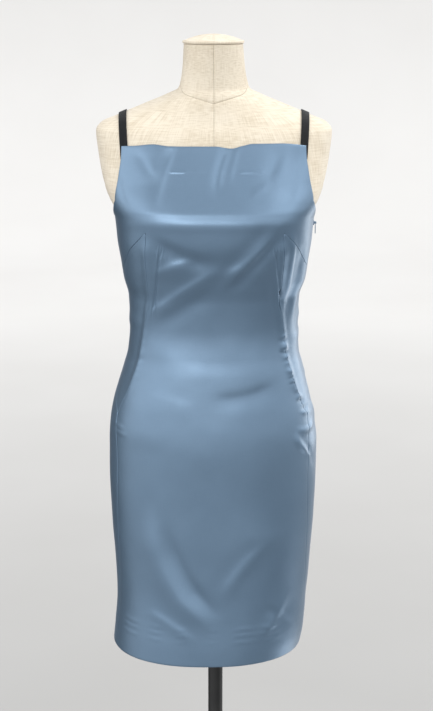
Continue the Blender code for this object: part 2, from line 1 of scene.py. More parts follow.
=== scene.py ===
# %% [markdown]
# # A satin sheath dress on a linen dress form
#
# This script dresses a imported model. The model's solids already have the real sizes of every piece: the
# panels of the dress, the straps, the zip and the form that carries them. Here each piece gets its fine
# surface and its finish, then the camera and the light are set up.
#
# The first step loads the solids and brings in the modules.

# %% Load the frame
import functools
import json
import math

import bmesh
import bpy
from mathutils import Matrix, Vector, noise


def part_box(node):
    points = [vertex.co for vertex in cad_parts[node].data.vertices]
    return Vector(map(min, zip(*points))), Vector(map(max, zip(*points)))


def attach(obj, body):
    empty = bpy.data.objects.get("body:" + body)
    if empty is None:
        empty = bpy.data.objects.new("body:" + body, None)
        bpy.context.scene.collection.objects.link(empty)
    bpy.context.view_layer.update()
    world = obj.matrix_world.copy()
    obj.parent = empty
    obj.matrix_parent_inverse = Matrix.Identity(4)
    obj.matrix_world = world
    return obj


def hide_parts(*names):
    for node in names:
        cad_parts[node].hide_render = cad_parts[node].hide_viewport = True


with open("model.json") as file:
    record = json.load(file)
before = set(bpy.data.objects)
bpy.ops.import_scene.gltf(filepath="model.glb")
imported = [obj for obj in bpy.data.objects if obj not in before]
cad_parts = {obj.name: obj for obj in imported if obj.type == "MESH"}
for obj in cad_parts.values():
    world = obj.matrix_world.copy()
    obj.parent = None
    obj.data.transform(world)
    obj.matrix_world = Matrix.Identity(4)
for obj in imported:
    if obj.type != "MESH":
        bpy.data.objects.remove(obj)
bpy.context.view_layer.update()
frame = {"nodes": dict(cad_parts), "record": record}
print("nodes:", sorted(frame["nodes"]))

# %% [markdown]
# ## The body under the cloth
#
# A sheath dress is fitted, so its shape is the shape of the form plus a little ease. One table describes
# that form: each row is a level section, with its half width, its depth to the front and to the back, and
# how square its corners are. A superellipse draws the section. Below the form's own end the rows describe
# how the skirt hangs. Reading the table on a smooth curve gives as many sections as a fine mesh wants.

# %% The form's sections
FORM_NAMES = ("z", "half", "shift", "middle", "front", "back", "front_square", "back_square", "ease")
FORM = (
    (0.470, 0.1540, -0.0145, 0.020, 0.1320, 0.080, 2.3, 2.3, 0.0080),
    (0.500, 0.1550, -0.0105, 0.018, 0.1300, 0.082, 2.3, 2.3, 0.0080),
    (0.550, 0.1545, -0.0065, 0.016, 0.1260, 0.086, 2.3, 2.3, 0.0080),
    (0.600, 0.1570, -0.0050, 0.014, 0.1230, 0.091, 2.3, 2.3, 0.0080),
    (0.700, 0.1635, -0.0045, 0.012, 0.1220, 0.100, 2.3, 2.3, 0.0080),
    (0.770, 0.1660, -0.0045, 0.012, 0.1230, 0.107, 2.3, 2.3, 0.0080),
    (0.830, 0.1660, -0.0040, 0.012, 0.1240, 0.110, 2.3, 2.3, 0.0080),
    (0.870, 0.1620, -0.0050, 0.012, 0.1220, 0.106, 2.4, 2.3, 0.0080),
    (0.900, 0.1565, -0.0050, 0.011, 0.1180, 0.098, 2.4, 2.3, 0.0080),
    (0.930, 0.1485, -0.0045, 0.010, 0.1130, 0.088, 2.4, 2.3, 0.0080),
    (0.960, 0.1405, -0.0035, 0.009, 0.1080, 0.078, 2.4, 2.3, 0.0080),
    (0.990, 0.1330, -0.0030, 0.008, 0.1030, 0.070, 2.4, 2.3, 0.0080),
    (1.035, 0.1300, -0.0020, 0.006, 0.0980, 0.066, 2.4, 2.3, 0.0080),
    (1.080, 0.1320, -0.0020, 0.004, 0.1000, 0.069, 2.5, 2.3, 0.0080),
    (1.110, 0.1400, -0.0010, 0.002, 0.1060, 0.075, 2.6, 2.3, 0.0080),
    (1.140, 0.1440, -0.0010, 0.000, 0.1150, 0.082, 2.7, 2.4, 0.0080),
    (1.170, 0.1485, -0.0010, 0.000, 0.1230, 0.086, 2.8, 2.4, 0.0080),
    (1.196, 0.1512, -0.0010, 0.000, 0.1266, 0.0875, 2.85, 2.4, 0.0076),
    (1.211, 0.1530, -0.0010, 0.000, 0.1282, 0.088, 2.9, 2.4, 0.0075),
    (1.225, 0.1608, -0.0012, 0.001, 0.1272, 0.0895, 2.85, 2.4, 0.0068),
    (1.240, 0.1690, -0.0015, 0.002, 0.1222, 0.091, 2.8, 2.4, 0.0060),
    (1.270, 0.1800, -0.0020, 0.004, 0.1068, 0.091, 2.7, 2.4, 0.0055),
    (1.310, 0.1870, -0.0020, 0.004, 0.0890, 0.088, 2.6, 2.5, 0.0052),
    (1.345, 0.1905, -0.0020, 0.004, 0.0760, 0.080, 2.6, 2.6, 0.0050),
    (1.358, 0.1810, -0.0020, 0.004, 0.0700, 0.073, 2.5, 2.5, 0.0045),
    (1.370, 0.1530, -0.0020, 0.004, 0.0660, 0.068, 2.3, 2.3, 0.0045),
    (1.388, 0.1100, -0.0020, 0.004, 0.0600, 0.062, 2.1, 2.1, 0.0045),
    (1.402, 0.0760, -0.0020, 0.004, 0.0560, 0.059, 2.0, 2.0, 0.0045),
    (1.412, 0.0570, -0.0020, 0.003, 0.0510, 0.055, 2.0, 2.0, 0.0045),
    (1.440, 0.0505, -0.0025, 0.001, 0.0480, 0.049, 2.0, 2.0, 0.0045),
    (1.480, 0.0475, -0.0030, 0.000, 0.0475, 0.0475, 2.0, 2.0, 0.0045),
)


def smooth_value(rows, key, column):
    """Read a table between its rows, on a curve that never overshoots them."""
    keys = [row[0] for row in rows]
    key = min(max(key, keys[0]), keys[-1])
    upper = next(i for i in range(1, len(keys)) if keys[i] >= key)
    lower = upper - 1

    def slope(i):
        if i == 0 or i == len(keys) - 1:
            near = 0 if i == 0 else i - 1
            return (rows[near + 1][column] - rows[near][column]) / (keys[near + 1] - keys[near])
        before = (rows[i][column] - rows[i - 1][column]) / (keys[i] - keys[i - 1])
        after = (rows[i + 1][column] - rows[i][column]) / (keys[i + 1] - keys[i])
        if before * after <= 0.0:
            return 0.0
        return 2.0 * before * after / (before + after)

    span = keys[upper] - keys[lower]
    t = (key - keys[lower]) / span
    start, end = rows[lower][column], rows[upper][column]
    rise = start * (2 * t**3 - 3 * t**2 + 1) + end * (3 * t**2 - 2 * t**3)
    lean = slope(lower) * (t**3 - 2 * t**2 + t) + slope(upper) * (t**3 - t**2)
    return rise + lean * span


@functools.lru_cache(maxsize=None)
def section(tenths):
    """The form's section at a height given in tenths of a millimetre."""
    z = tenths / 10000.0
    return {name: smooth_value(FORM, z, column) for column, name in enumerate(FORM_NAMES) if column}


def form_row(z):
    """The form's section at a height, blended between two stored ones."""
    low = math.floor(z * 10000.0)
    share = z * 10000.0 - low
    below, above = section(low), section(low + 1)
    return {name: below[name] * (1.0 - share) + above[name] * share for name in below}


def outward_at(turn):
    """The level direction away from the body at a turn."""
    return Vector((math.sin(math.radians(turn)), -math.cos(math.radians(turn)), 0.0))


def surface_point(row, z, turn, out):
    """A point on a section, moved out. Turn 0 is the centre front, 90 the wearer's left."""
    side, ahead = math.sin(math.radians(turn)), math.cos(math.radians(turn))
    face = "front" if ahead > 0.0 else "back"
    square = row[face + "_square"]
    reach = (abs(side) / (row["half"] + out)) ** square + (abs(ahead) / (row[face] + out)) ** square
    radius = reach ** (-1.0 / square)
    return Vector((row["shift"] + radius * side, row["middle"] - radius * ahead, z))


waist = form_row(1.035)
print("waist of the form: %.3f m wide" % (2 * waist["half"]))

# %% [markdown]
# ## Seam lines
#
# A pattern cutter draws seams as lines on the body. Here each one is a short table of heights and turns,
# so every panel can ask where its edge is at any height. The princess seam starts at the bust point, runs
# down through the waist and meets the side seam at the hip. The bust seam leaves the same point and curves
# back to the side. Between them lies the leaf-shaped side panel.

# %% Seams and edges
HEM_Z = 0.470
HIP_Z = 0.885
APEX_Z = 1.197
APEX_TURN = 42.7
UNDERARM_Z = 1.211
CHEST_Z = 1.242
NECKLINE_Z = 1.327
BUST_SEAM = (
    # z, turn
    (1.118, 90.0), (1.126, 78.0), (1.139, 68.0), (1.157, 60.0), (1.171, 54.0), (1.184, 48.0),
    (APEX_Z, APEX_TURN),
)
PRINCESS_SEAM = (
    # z, turn
    (HIP_Z, 69.0), (0.918, 64.2), (0.940, 61.2), (0.960, 59.2), (0.985, 57.8), (1.011, 56.8),
    (1.037, 55.4), (1.060, 53.0), (1.081, 50.4), (1.112, 47.8), (1.150, 45.0), (1.186, 42.9),
    (APEX_Z, APEX_TURN),
)
SIDE_SEAM = (
    # z, turn
    (HEM_Z, 78.0), (0.600, 72.0), (0.700, 69.0), (0.800, 67.0), (HIP_Z, 69.0), (0.915, 78.0),
    (0.950, 87.0), (1.035, 91.0), (1.118, 90.0), (UNDERARM_Z, 90.0),
)
# The armhole goes by z and turn, the underarm and the back's edge by turn and z.
ARMHOLE = ((CHEST_Z, 62.2), (1.267, 61.4), (1.298, 62.4), (NECKLINE_Z, 64.2))
UNDERARM = ((62.2, CHEST_Z), (66.5, 1.228), (73.0, 1.217), (81.0, 1.212), (90.0, UNDERARM_Z))
BACK_EDGE = ((0.0, 1.211), (15.0, 1.223), (40.0, 1.236), (60.0, 1.237), (90.0, 1.231))
NECK_WAVE = (
    # x, rise of the neckline
    (-0.150, -0.001), (-0.126, 0.000), (-0.097, 0.003), (-0.070, 0.000), (0.000, 0.000),
    (0.023, -0.003), (0.043, 0.001), (0.060, 0.004), (0.103, 0.004), (0.150, -0.001),
)
SEAM_ROLL = 0.0009
EDGE_ROLL = 0.0010
SEAM_INSET = 0.0009
BUST_BY_TURN = tuple((turn, z) for z, turn in reversed(BUST_SEAM))


def bust_seam_z(turn):
    """Height of the bust seam at a turn."""
    return smooth_value(BUST_BY_TURN, turn, 1)


def inset_turn(z):
    """The turn that an edge stays back from its seam line, so that two rolled edges meet."""
    return math.degrees(SEAM_INSET / (form_row(z)["half"] + form_row(z)["ease"]))


def front_edge_turn(z):
    """Turn of the front's side edge below the bust points."""
    return smooth_value(PRINCESS_SEAM if z > HIP_Z else SIDE_SEAM, z, 1) - inset_turn(z)


print("princess seam at the waist: turn %.1f" % front_edge_turn(1.035))

# %% [markdown]
# ## Folds
#
# Satin shows every pull. The folds are given one by one, as an illustrator would draw them: each row is a
# line on the cloth with a bow, a width and a height, and it lifts the surface in a soft ridge or sinks it in
# a trough. Each fold fades in and out along its line, and one flank is softer than the other. Rows in the
# first table are seen from ahead, in x and z. Rows in the second go round the body, in turn and z. The
# third gives the two corners that stand away at the underarms. A little low noise is added last, because
# real cloth is never perfectly even.

# %% Fold tables
FRONT_FOLDS = (
    # name, start x, start z, end x, end z, bow, width, rise
    ("hollow_left", -0.097, 1.184, -0.001, 1.148, -0.006, 0.010, -0.0052),
    ("pull_left_high", -0.096, 1.126, -0.034, 1.153, 0.003, 0.008, 0.0024),
    ("pull_left", -0.103, 1.056, 0.001, 1.133, 0.004, 0.009, 0.0036),
    ("pull_left_under", -0.094, 1.044, -0.004, 1.101, 0.002, 0.010, -0.0020),
    ("hollow_right", 0.092, 1.202, 0.012, 1.138, 0.004, 0.010, -0.0032),
    ("pull_right", 0.098, 1.206, 0.010, 1.108, 0.002, 0.007, 0.0036),
    ("pull_right_under", 0.102, 1.189, 0.032, 1.108, 0.000, 0.009, -0.0026),
    ("belly_swag", -0.112, 1.014, 0.114, 0.988, -0.040, 0.021, 0.0011),
    ("belly_under", 0.000, 0.926, 0.094, 0.944, -0.004, 0.010, -0.0017),
    ("belly_low_left", -0.112, 0.929, -0.036, 0.911, 0.000, 0.012, 0.0006),
    ("skirt_left", -0.107, 0.730, -0.020, 0.543, -0.020, 0.014, 0.0058),
    ("skirt_left_hollow", -0.080, 0.706, -0.004, 0.566, -0.010, 0.010, -0.0046),
    ("skirt_right", 0.106, 0.704, 0.012, 0.594, -0.012, 0.017, 0.0024),
    ("skirt_right_hollow", 0.078, 0.690, 0.004, 0.604, -0.008, 0.011, -0.0020),
    ("neck_pleat", -0.097, 1.332, -0.095, 1.276, 0.000, 0.016, 0.0024),
    ("neck_pleat_left", -0.121, 1.320, -0.098, 1.280, 0.000, 0.005, -0.0018),
    ("neck_pleat_right", -0.062, 1.332, -0.094, 1.238, -0.004, 0.007, -0.0034),
    ("neck_middle", 0.025, 1.332, 0.002, 1.254, -0.004, 0.006, -0.0030),
    ("neck_middle_soft", 0.036, 1.330, 0.020, 1.270, -0.002, 0.006, 0.0012),
    ("neck_right", 0.104, 1.324, 0.082, 1.276, 0.002, 0.007, -0.0022),
    ("chest_fine_upper", 0.057, 1.260, 0.084, 1.273, 0.000, 0.0025, 0.0009),
    ("chest_fine_lower", 0.054, 1.254, 0.080, 1.265, 0.000, 0.0025, 0.0008),
    ("armhole_right", 0.136, 1.330, 0.108, 1.226, 0.002, 0.009, -0.0030),
    ("armhole_left", -0.149, 1.280, -0.139, 1.240, -0.002, 0.0022, -0.0016),
    ("hem_left", -0.110, 0.560, -0.036, 0.515, 0.003, 0.007, 0.0016),
    ("hem_right", 0.120, 0.590, 0.076, 0.515, 0.004, 0.007, 0.0018),
    ("hem_right_cross", 0.084, 0.572, 0.124, 0.524, 0.002, 0.006, -0.0016),
)
ROUND_FOLDS = (
    # name, start turn, start z, end turn, end z, bow, width, rise
    ("zip_drag_high", 58.0, 0.868, 78.0, 0.872, -0.006, 0.004, 0.0022),
    ("zip_drag_low", 56.0, 0.862, 66.0, 0.828, -0.004, 0.004, 0.0018),
    ("zip_drag_fine_high", 61.0, 0.897, 80.0, 0.886, -0.003, 0.0022, 0.0012),
    ("zip_drag_fine_middle", 56.0, 0.852, 71.0, 0.812, -0.003, 0.0026, 0.0013),
    ("zip_drag_fine_low", 64.0, 0.842, 75.0, 0.794, 0.002, 0.0026, -0.0012),
    ("hip_right_fine", -60.0, 0.868, -74.0, 0.876, 0.002, 0.0024, 0.0010),
    ("hip_right_fine_low", -57.0, 0.857, -70.0, 0.861, 0.001, 0.0024, 0.0008),
    ("zip_bubble", 80.0, 0.900, 92.0, 0.862, 0.002, 0.006, 0.0020),
    ("side_waist_left", 72.0, 1.052, 100.0, 1.040, 0.003, 0.007, 0.0016),
    ("side_waist_left_low", 66.0, 1.014, 98.0, 1.024, -0.003, 0.006, 0.0014),
    ("side_streak_front", 49.0, 1.192, 56.0, 1.070, 0.001, 0.0045, 0.0028),
    ("side_streak_back", 70.0, 1.166, 65.0, 1.036, 0.003, 0.0100, 0.0024),
    ("side_streak_hollow", 59.0, 1.170, 61.0, 1.060, 0.002, 0.0060, -0.0014),
    ("side_waist_right", -60.0, 1.046, -100.0, 1.036, 0.003, 0.008, 0.0014),
    ("back_waist_upper", 118.0, 1.070, 236.0, 1.064, -0.012, 0.011, 0.0032),
    ("back_waist_middle", 128.0, 1.038, 226.0, 1.044, -0.008, 0.009, 0.0026),
    ("back_waist_lower", 138.0, 1.006, 214.0, 1.002, -0.006, 0.010, 0.0024),
    ("back_hollow", 124.0, 1.054, 232.0, 1.052, -0.010, 0.008, -0.0020),
    ("back_seat_left", 112.0, 0.900, 150.0, 0.850, 0.006, 0.012, 0.0020),
    ("back_seat_right", 246.0, 0.905, 212.0, 0.852, -0.006, 0.012, 0.0018),
    ("back_skirt_left", 140.0, 0.760, 152.0, 0.490, 0.006, 0.016, 0.0040),
    ("back_skirt_right", 222.0, 0.770, 206.0, 0.500, -0.006, 0.014, 0.0034),
    ("back_skirt_hollow", 182.0, 0.720, 178.0, 0.480, 0.004, 0.018, -0.0030),
    ("side_skirt_left", 96.0, 0.760, 104.0, 0.490, -0.004, 0.012, -0.0022),
    ("side_skirt_right", -96.0, 0.740, -102.0, 0.480, 0.004, 0.013, -0.0024),
    ("blade_left", 138.0, 1.225, 156.0, 1.140, 0.003, 0.010, -0.0014),
    ("blade_right", 226.0, 1.226, 206.0, 1.130, -0.003, 0.010, -0.0016),
)
CORNERS = (
    # name, turn, z, width, rise
    ("left_corner", 95.0, 1.224, 0.011, 0.0090),
    ("right_corner", -95.0, 1.230, 0.011, 0.0085),
)
BODY_RADIUS = 0.16
SOFT_SIDE = 1.7
RUN_OUT = 0.12
FADE_IN = 0.3
WAVE_SCALE, WAVE_HEIGHT = 14.0, 0.0007
RIPPLE_SCALE, RIPPLE_STRETCH, RIPPLE_HEIGHT = 42.0, 0.7, 0.00022


def arc_at(turn):
    """Metres round the body at a turn, as on the flat draft."""
    return math.radians(turn) * BODY_RADIUS


def fade(value, low, high):
    """Smooth step from 0 at low to 1 at high."""
    t = min(max((value - low) / (high - low), 0.0), 1.0)
    return t * t * (3.0 - 2.0 * t)


def bell(away, width):
    """1 on a line, falling softly to nothing a few widths away from it."""
    return math.exp(-(away / width) ** 2)


def near_line(x, z, start, end):
    """Signed distance from a straight line on a flat drawing, and the share along it."""
    run_x, run_z = end[0] - start[0], end[1] - start[1]
    length = math.hypot(run_x, run_z)
    t = ((x - start[0]) * run_x + (z - start[1]) * run_z) / length**2
    aside = ((z - start[1]) * run_x - (x - start[0]) * run_z) / length
    return aside, t


def ridge(x, z, start, end, bow, width, rise):
    """Height that one fold gives a place, both in metres on a flat drawing."""
    aside, t = near_line(x, z, start, end)
    if t < -RUN_OUT or t > 1.0 + RUN_OUT:
        return 0.0
    away = (aside - bow * 4.0 * t * (1.0 - t)) / width
    away /= SOFT_SIDE if away < 0.0 else 1.0
    return rise * fade(t, -RUN_OUT, FADE_IN) * fade(1.0 - t, -RUN_OUT, FADE_IN) * math.exp(-away * away)


def fold_lift(x, z, turn):
    """How far all the folds lift the cloth at a place."""
    lift = 0.0
    facing = max(0.0, math.cos(math.radians(turn))) ** 0.5
    if facing > 0.0:
        for _, x1, z1, x2, z2, bow, width, rise in FRONT_FOLDS:
            lift += facing * ridge(x, z, (x1, z1), (x2, z2), bow, width, rise)
    for _, turn1, z1, turn2, z2, bow, width, rise in ROUND_FOLDS:
        here = turn + 360.0 if turn < 0.0 and max(turn1, turn2) > 180.0 else turn
        lift += ridge(arc_at(here), z, (arc_at(turn1), z1), (arc_at(turn2), z2), bow, width, rise)
    for _, corner_turn, corner_z, width, rise in CORNERS:
        lift += rise * bell(math.hypot(arc_at(turn - corner_turn), z - corner_z), width)
    return lift


def unevenness(point):
    """Soft low waves that no sewn cloth is free of."""
    broad = noise.noise(point * WAVE_SCALE) * WAVE_HEIGHT
    stretched = Vector((point.x, point.y, point.z * RIPPLE_STRETCH))
    return broad + noise.noise(stretched * RIPPLE_SCALE) * RIPPLE_HEIGHT


print("folds:", len(FRONT_FOLDS) + len(ROUND_FOLDS))

# %% [markdown]
# ## Sewn details in the surface
#
# Four things mark the cloth more sharply than a fold. The waist darts are short sewn lines: the cloth dips
# at the stitches and stands a little higher on the side where the dart's fold lies, and small gathers stand
# at both its ends. The neck facing is a second layer inside the top, and its lower edge prints through as a
# level line, plainest in two places. The hem's stitches pull a broken line into the skirt. The curved seams
# pucker where a longer edge was eased into a shorter one, most of all along the zip side.

# %% Darts, facing and hem line
DARTS = (
    # name, top x, top z, end x, end z
    ("dart_right_front", -0.087, 1.167, -0.0975, 1.068),
    ("dart_left_front", 0.0955, 1.165, 0.1025, 1.080),
)
BACK_DARTS = (
    # name, top turn, top z, end turn, end z
    ("dart_left_back", 150.0, 1.165, 148.0, 0.925),
    ("dart_right_back", 210.0, 1.165, 212.0, 0.925),
)
DART_DIP, DART_WIDTH = 0.0019, 0.0014
DART_FOLD_RISE, DART_FOLD_ASIDE, DART_FOLD_WIDTH = 0.0005, 0.005, 0.004
GATHER_RISE, GATHER_SHARE, GATHER_WIDTH, GATHER_WAVES = 0.0008, 0.12, 0.010, 1700.0
FACING_Z = 1.2885
FACING_TOP_Z = 1.320
FACING_LEFT, FACING_RIGHT = -0.082, 0.088
FACING_STEP, FACING_SOFTNESS = 0.00022, 0.0016
FACING_MARKS = ((-0.070, -0.047), (0.040, 0.074))
MARK_RISE, MARK_WIDTH = 0.0009, 0.0015
HEM_LINE_Z = 0.5240
HEM_LINE_REACH = 0.03
HEM_DRIFT = 0.004
HEM_LINES = (
    # level, width, rise
    (0.0, 0.0016, 0.0006),
    (-0.012, 0.0022, 0.0005),
    (0.011, 0.003, 0.0005),
)


def back_dart_lines():
    """The back darts as straight lines on the flat draft."""
    return [((arc_at(turn1), z1), (arc_at(turn2), z2)) for _, turn1, z1, turn2, z2 in BACK_DARTS]


def dart_relief(x, z):
    """A front dart's dip, the fold that lies beside it, and the gathers at its ends."""
    relief = 0.0
    for _, x1, z1, x2, z2 in DARTS:
        aside, t = near_line(x, z, (x1, z1), (x2, z2))
        body = fade(t, -0.05, 0.1) * fade(1.05 - t, 0.0, 0.15)
        relief -= DART_DIP * body * bell(aside, DART_WIDTH)
        fold_side = math.copysign(1.0, x) * aside
        relief += DART_FOLD_RISE * body * bell(fold_side + DART_FOLD_ASIDE, DART_FOLD_WIDTH)
        for end, top in ((0.0, z1), (1.0, z2)):
            gather = bell(t - end, GATHER_SHARE) * bell(aside, GATHER_WIDTH)
            relief += GATHER_RISE * gather * math.sin(aside * GATHER_WAVES + top * 60.0)
    return relief


def facing_relief(x, z):
    """The step at the facing's lower edge and the two places where it presses through."""
    step = 0.5 + 0.5 * math.tanh((z - FACING_Z) / FACING_SOFTNESS)
    between = fade(x, FACING_LEFT - 0.01, FACING_LEFT + 0.02)
    between *= fade(FACING_RIGHT - x, -0.01, 0.02)
    relief = FACING_STEP * between * step * fade(FACING_TOP_Z - z, -0.004, 0.02)
    for start, end in FACING_MARKS:
        mark = fade(x, start - 0.004, start + 0.003) * fade(end - x, -0.004, 0.003)
        relief += MARK_RISE * mark * bell(z - FACING_Z, MARK_WIDTH)
    return relief


def hem_relief(z, turn):
    """Three broken lines that wander a little along the hem's stitches."""
    drift = noise.noise(Vector((turn * 0.11, 4.0, 0.0))) * HEM_DRIFT
    patchy = fade(noise.noise(Vector((turn * 0.06, 9.0, 0.0))), -0.15, 0.25)
    offset = z - HEM_LINE_Z - drift
    return sum(rise * patchy * bell(offset - level, width) for level, width, rise in HEM_LINES)


def sewn_relief(x, z, turn):
    """Relief of the darts, the facing's edge and the hem line."""
    relief = 0.0
    if abs(turn) < 80.0:
        relief += dart_relief(x, z) + facing_relief(x, z)
    if abs(z - HEM_LINE_Z) < HEM_LINE_REACH:
        relief += hem_relief(z, turn)
    here = turn % 360.0
    if 90.0 < here < 270.0:
        for start, end in back_dart_lines():
            aside, t = near_line(arc_at(here), z, start, end)
            body = fade(t, -0.02, 0.05) * fade(1.02 - t, 0.0, 0.06)
            relief -= DART_DIP * body * bell(aside, DART_WIDTH)
    return relief


print("darts:", len(DARTS) + len(BACK_DARTS))

# %% Puckers and the cloth's surface
SEAM_RIDGE, SEAM_RIDGE_WIDTH = 0.0026, 0.009
PUCKER_LEFT, PUCKER_RIGHT, PUCKER_WIDTH = 0.0020, 0.0004, 0.008
ZIP_PUCKER, ZIP_PUCKER_WIDTH = 0.0020, 0.010


def ripple(z, coarse, coarse_seed, fine, fine_seed, away, fine_share):
    """Uneven waves along a seam, with finer ones that change across it."""
    wave = noise.noise(Vector((z * coarse, coarse_seed, 0.0)))
    return wave + fine_share * noise.noise(Vector((z * fine, fine_seed, away)))


def pucker(z, turn):
    """The break of the cloth at the princess seams, and uneven ripples across the eased seams.

    The princess seams pucker from the hip to the waist, and the cloth breaks over them from there up.
    """
    lift = 0.0
    sign = 1.0 if turn > 0.0 else -1.0
    if 0.86 < z < 1.19 and 30.0 < abs(turn) < 110.0:
        away = abs(arc_at(abs(turn) - smooth_value(PRINCESS_SEAM, z, 1)))
        where = fade(z, 0.865, 0.90) * fade(1.05 - z, 0.0, 0.04)
        body = fade(z, 0.90, 0.96) * fade(1.19 - z, 0.0, 0.03)
        lift += SEAM_RIDGE * body * bell(away, SEAM_RIDGE_WIDTH)
        wave = ripple(z, 95.0, sign * 3.0, 260.0, sign * 5.0, away * 40.0, 0.5)
        strength = PUCKER_LEFT if sign > 0.0 else PUCKER_RIGHT
        lift += strength * where * wave * 2.0 * bell(away, PUCKER_WIDTH)
    if 0.86 < z < 1.20 and 60.0 < turn < 120.0:
        away = abs(arc_at(turn - smooth_value(SIDE_SEAM, z, 1)))
        wave = ripple(z, 70.0, 7.0, 210.0, 11.0, away * 30.0, 0.4)
        lift += ZIP_PUCKER * wave * bell(away, ZIP_PUCKER_WIDTH) * fade(z, 0.87, 0.92)
    return lift


def cloth_point(z, turn):
    """A point on the outside of the dress."""
    turn = (turn + 180.0) % 360.0 - 180.0
    row = form_row(z)
    base = surface_point(row, z, turn, row["ease"])
    lift = fold_lift(base.x, z, turn) + sewn_relief(base.x, z, turn) + pucker(z, turn) + unevenness(base)
    return base + outward_at(turn) * lift


print("bust point: %.3f m to the side" % cloth_point(APEX_Z, APEX_TURN).x)

# %% [markdown]
# ## A sheet of cloth from a grid
#
# Each panel starts as Blender's grid, drafted flat the way a pattern piece is: across is the turn round the
# body and up is the height. On that flat draft the mesh can still be subdivided near a dart, and its two
# numbers make a UV map in metres for the weave. Then every vertex moves to its place on the body.
# The edges are last: they are extruded in small steps round a roll, as a pressed seam or a turned edge goes.

# %% Draft, refine and roll helpers
CLOTH_THICKNESS = 0.0006
ROLL_STEPS = 4
SEAM_ALLOWANCE = 0.0022
TOP_HEM = 0.009
SKIRT_HEM = 0.022


def shares(count):
    """Even shares from 0 to 1."""
    return [i / count for i in range(count + 1)]


def add_draft(work, columns, rows, place):
    """Add a flat grid whose vertices are placed by turn and height."""
    across, down = len(columns) - 1, len(rows) - 1
    made = bmesh.ops.create_grid(work, x_segments=across, y_segments=down, size=0.5)["verts"]
    for vertex in made:
        column = columns[round((vertex.co.x + 0.5) * across)]
        row = rows[round((0.5 - vertex.co.y) * down)]
        z, turn = place(column, row)
        vertex.co = (arc_at(turn), 0.0, z)


def refine_draft(work, wanted):
    """Subdivide the edges whose middle passes a test."""
    edges = [edge for edge in work.edges if wanted(0.5 * (edge.verts[0].co + edge.verts[1].co))]
    bmesh.ops.subdivide_edges(work, edges=edges, cuts=1, use_grid_fill=True)


def set_cut_uv(work, flat_place):
    """Make the UV map, in metres, from each vertex's place on the flat cut."""
    uv = work.loops.layers.uv.new("cut")
    for face in work.faces:
        for loop in face.loops:
            loop[uv].uv = flat_place(loop.vert)


def turn_on_draft(place):
    """The turn of a place on the flat draft."""
    return math.degrees(place.x / BODY_RADIUS)


def dress_draft(work):
    """Keep the draft as the UV map, then move every vertex to its place on the dress."""
    set_cut_uv(work, lambda vertex: (vertex.co.x, vertex.co.z))
    for vertex in work.verts:
        vertex.co = cloth_point(vertex.co.z, turn_on_draft(vertex.co))
    work.normal_update()


def edges_within(work, chosen):
    """Boundary edges with both ends among the chosen vertices."""
    return [edge for edge in work.edges if edge.is_boundary and all(v in chosen for v in edge.verts)]


def roll_edges(work, edges, radius, angle, tail):
    """Turn boundary edges round a small roll to the inside, then straight on."""
    away, inward, start = {}, {}, {}
    for edge in edges:
        face = edge.link_faces[0]
        line = edge.verts[1].co - edge.verts[0].co
        out = line.cross(face.normal).normalized()
        if out.dot(edge.verts[0].co - face.calc_center_median()) < 0.0:
            out.negate()
        for vertex in edge.verts:
            key = tuple(vertex.co)
            start[key] = vertex.co.copy()
            away[key] = away.get(key, Vector()) + out
            inward[key] = -vertex.normal
    steps = [math.radians(angle * step / ROLL_STEPS) for step in range(1, ROLL_STEPS + 1)]
    path = [(radius * math.sin(turned), radius * (1.0 - math.cos(turned))) for turned in steps]
    heading = Vector((math.cos(steps[-1]), math.sin(steps[-1])))
    path.append(tuple(Vector(path[-1]) + heading * tail))
    origin = {key: key for key in start}
    rim = list(edges)
    for reach, depth in path:
        grown = bmesh.ops.extrude_edge_only(work, edges=rim)["geom"]
        rim = [item for item in grown if isinstance(item, bmesh.types.BMEdge)]
        fresh = {item for item in grown if isinstance(item, bmesh.types.BMVert)}
        following = {}
        for vertex in fresh:
            key = origin[tuple(vertex.co)]
            vertex.co = start[key] + away[key].normalized() * reach + inward[key] * depth
            following[tuple(vertex.co)] = key
        rim = [edge for edge in rim if all(v in fresh for v in edge.verts)]
        origin = following


def finish_piece(name, work, thickness=0.0, sharp_over=None):
    """Make the object, with any thickness on its inner side, and sharp edges over an angle in degrees."""
    mesh = bpy.data.meshes.new(name)
    work.to_mesh(mesh)
    work.free()
    mesh.shade_smooth()
    piece = bpy.data.objects.new(name, mesh)
    bpy.context.scene.collection.objects.link(piece)
    if thickness:
        wall = piece.modifiers.new("thickness", "SOLIDIFY")
        wall.thickness = thickness
        wall.offset = -1.0
    if sharp_over:
        mesh.set_sharp_from_angle(angle=math.radians(sharp_over))
    print("%s: %d faces" % (name, len(mesh.polygons)))
    return piece


def finish_panel(name, work, hem=(), top=()):
    """Dress a drafted panel and roll its edges: deep at the hem and top, narrow at the seams."""
    dress_draft(work)
    hem_edges, top_edges = edges_within(work, hem), edges_within(work, top)
    turned_in = set(hem_edges) | set(top_edges)
    seams = [edge for edge in work.edges if edge.is_boundary and edge not in turned_in]
    roll_edges(work, seams, SEAM_ROLL, 90.0, SEAM_ALLOWANCE)
    if top_edges:
        roll_edges(work, top_edges, EDGE_ROLL, 180.0, TOP_HEM)
    if hem_edges:
        roll_edges(work, hem_edges, EDGE_ROLL, 180.0, SKIRT_HEM)
    return finish_piece(name, work, CLOTH_THICKNESS)


# %% [markdown]
# ## The front
#
# The front is one piece of satin from the neckline to the hem. Above the bust points it reaches the
# armholes and the side seams, and below them only the princess seams. So it is drafted as three grids that
# share their edges: the chest between the armholes, the bust down to the bust seams, and the rest to the
# hem. Each row runs straight from one drafted edge to the next.

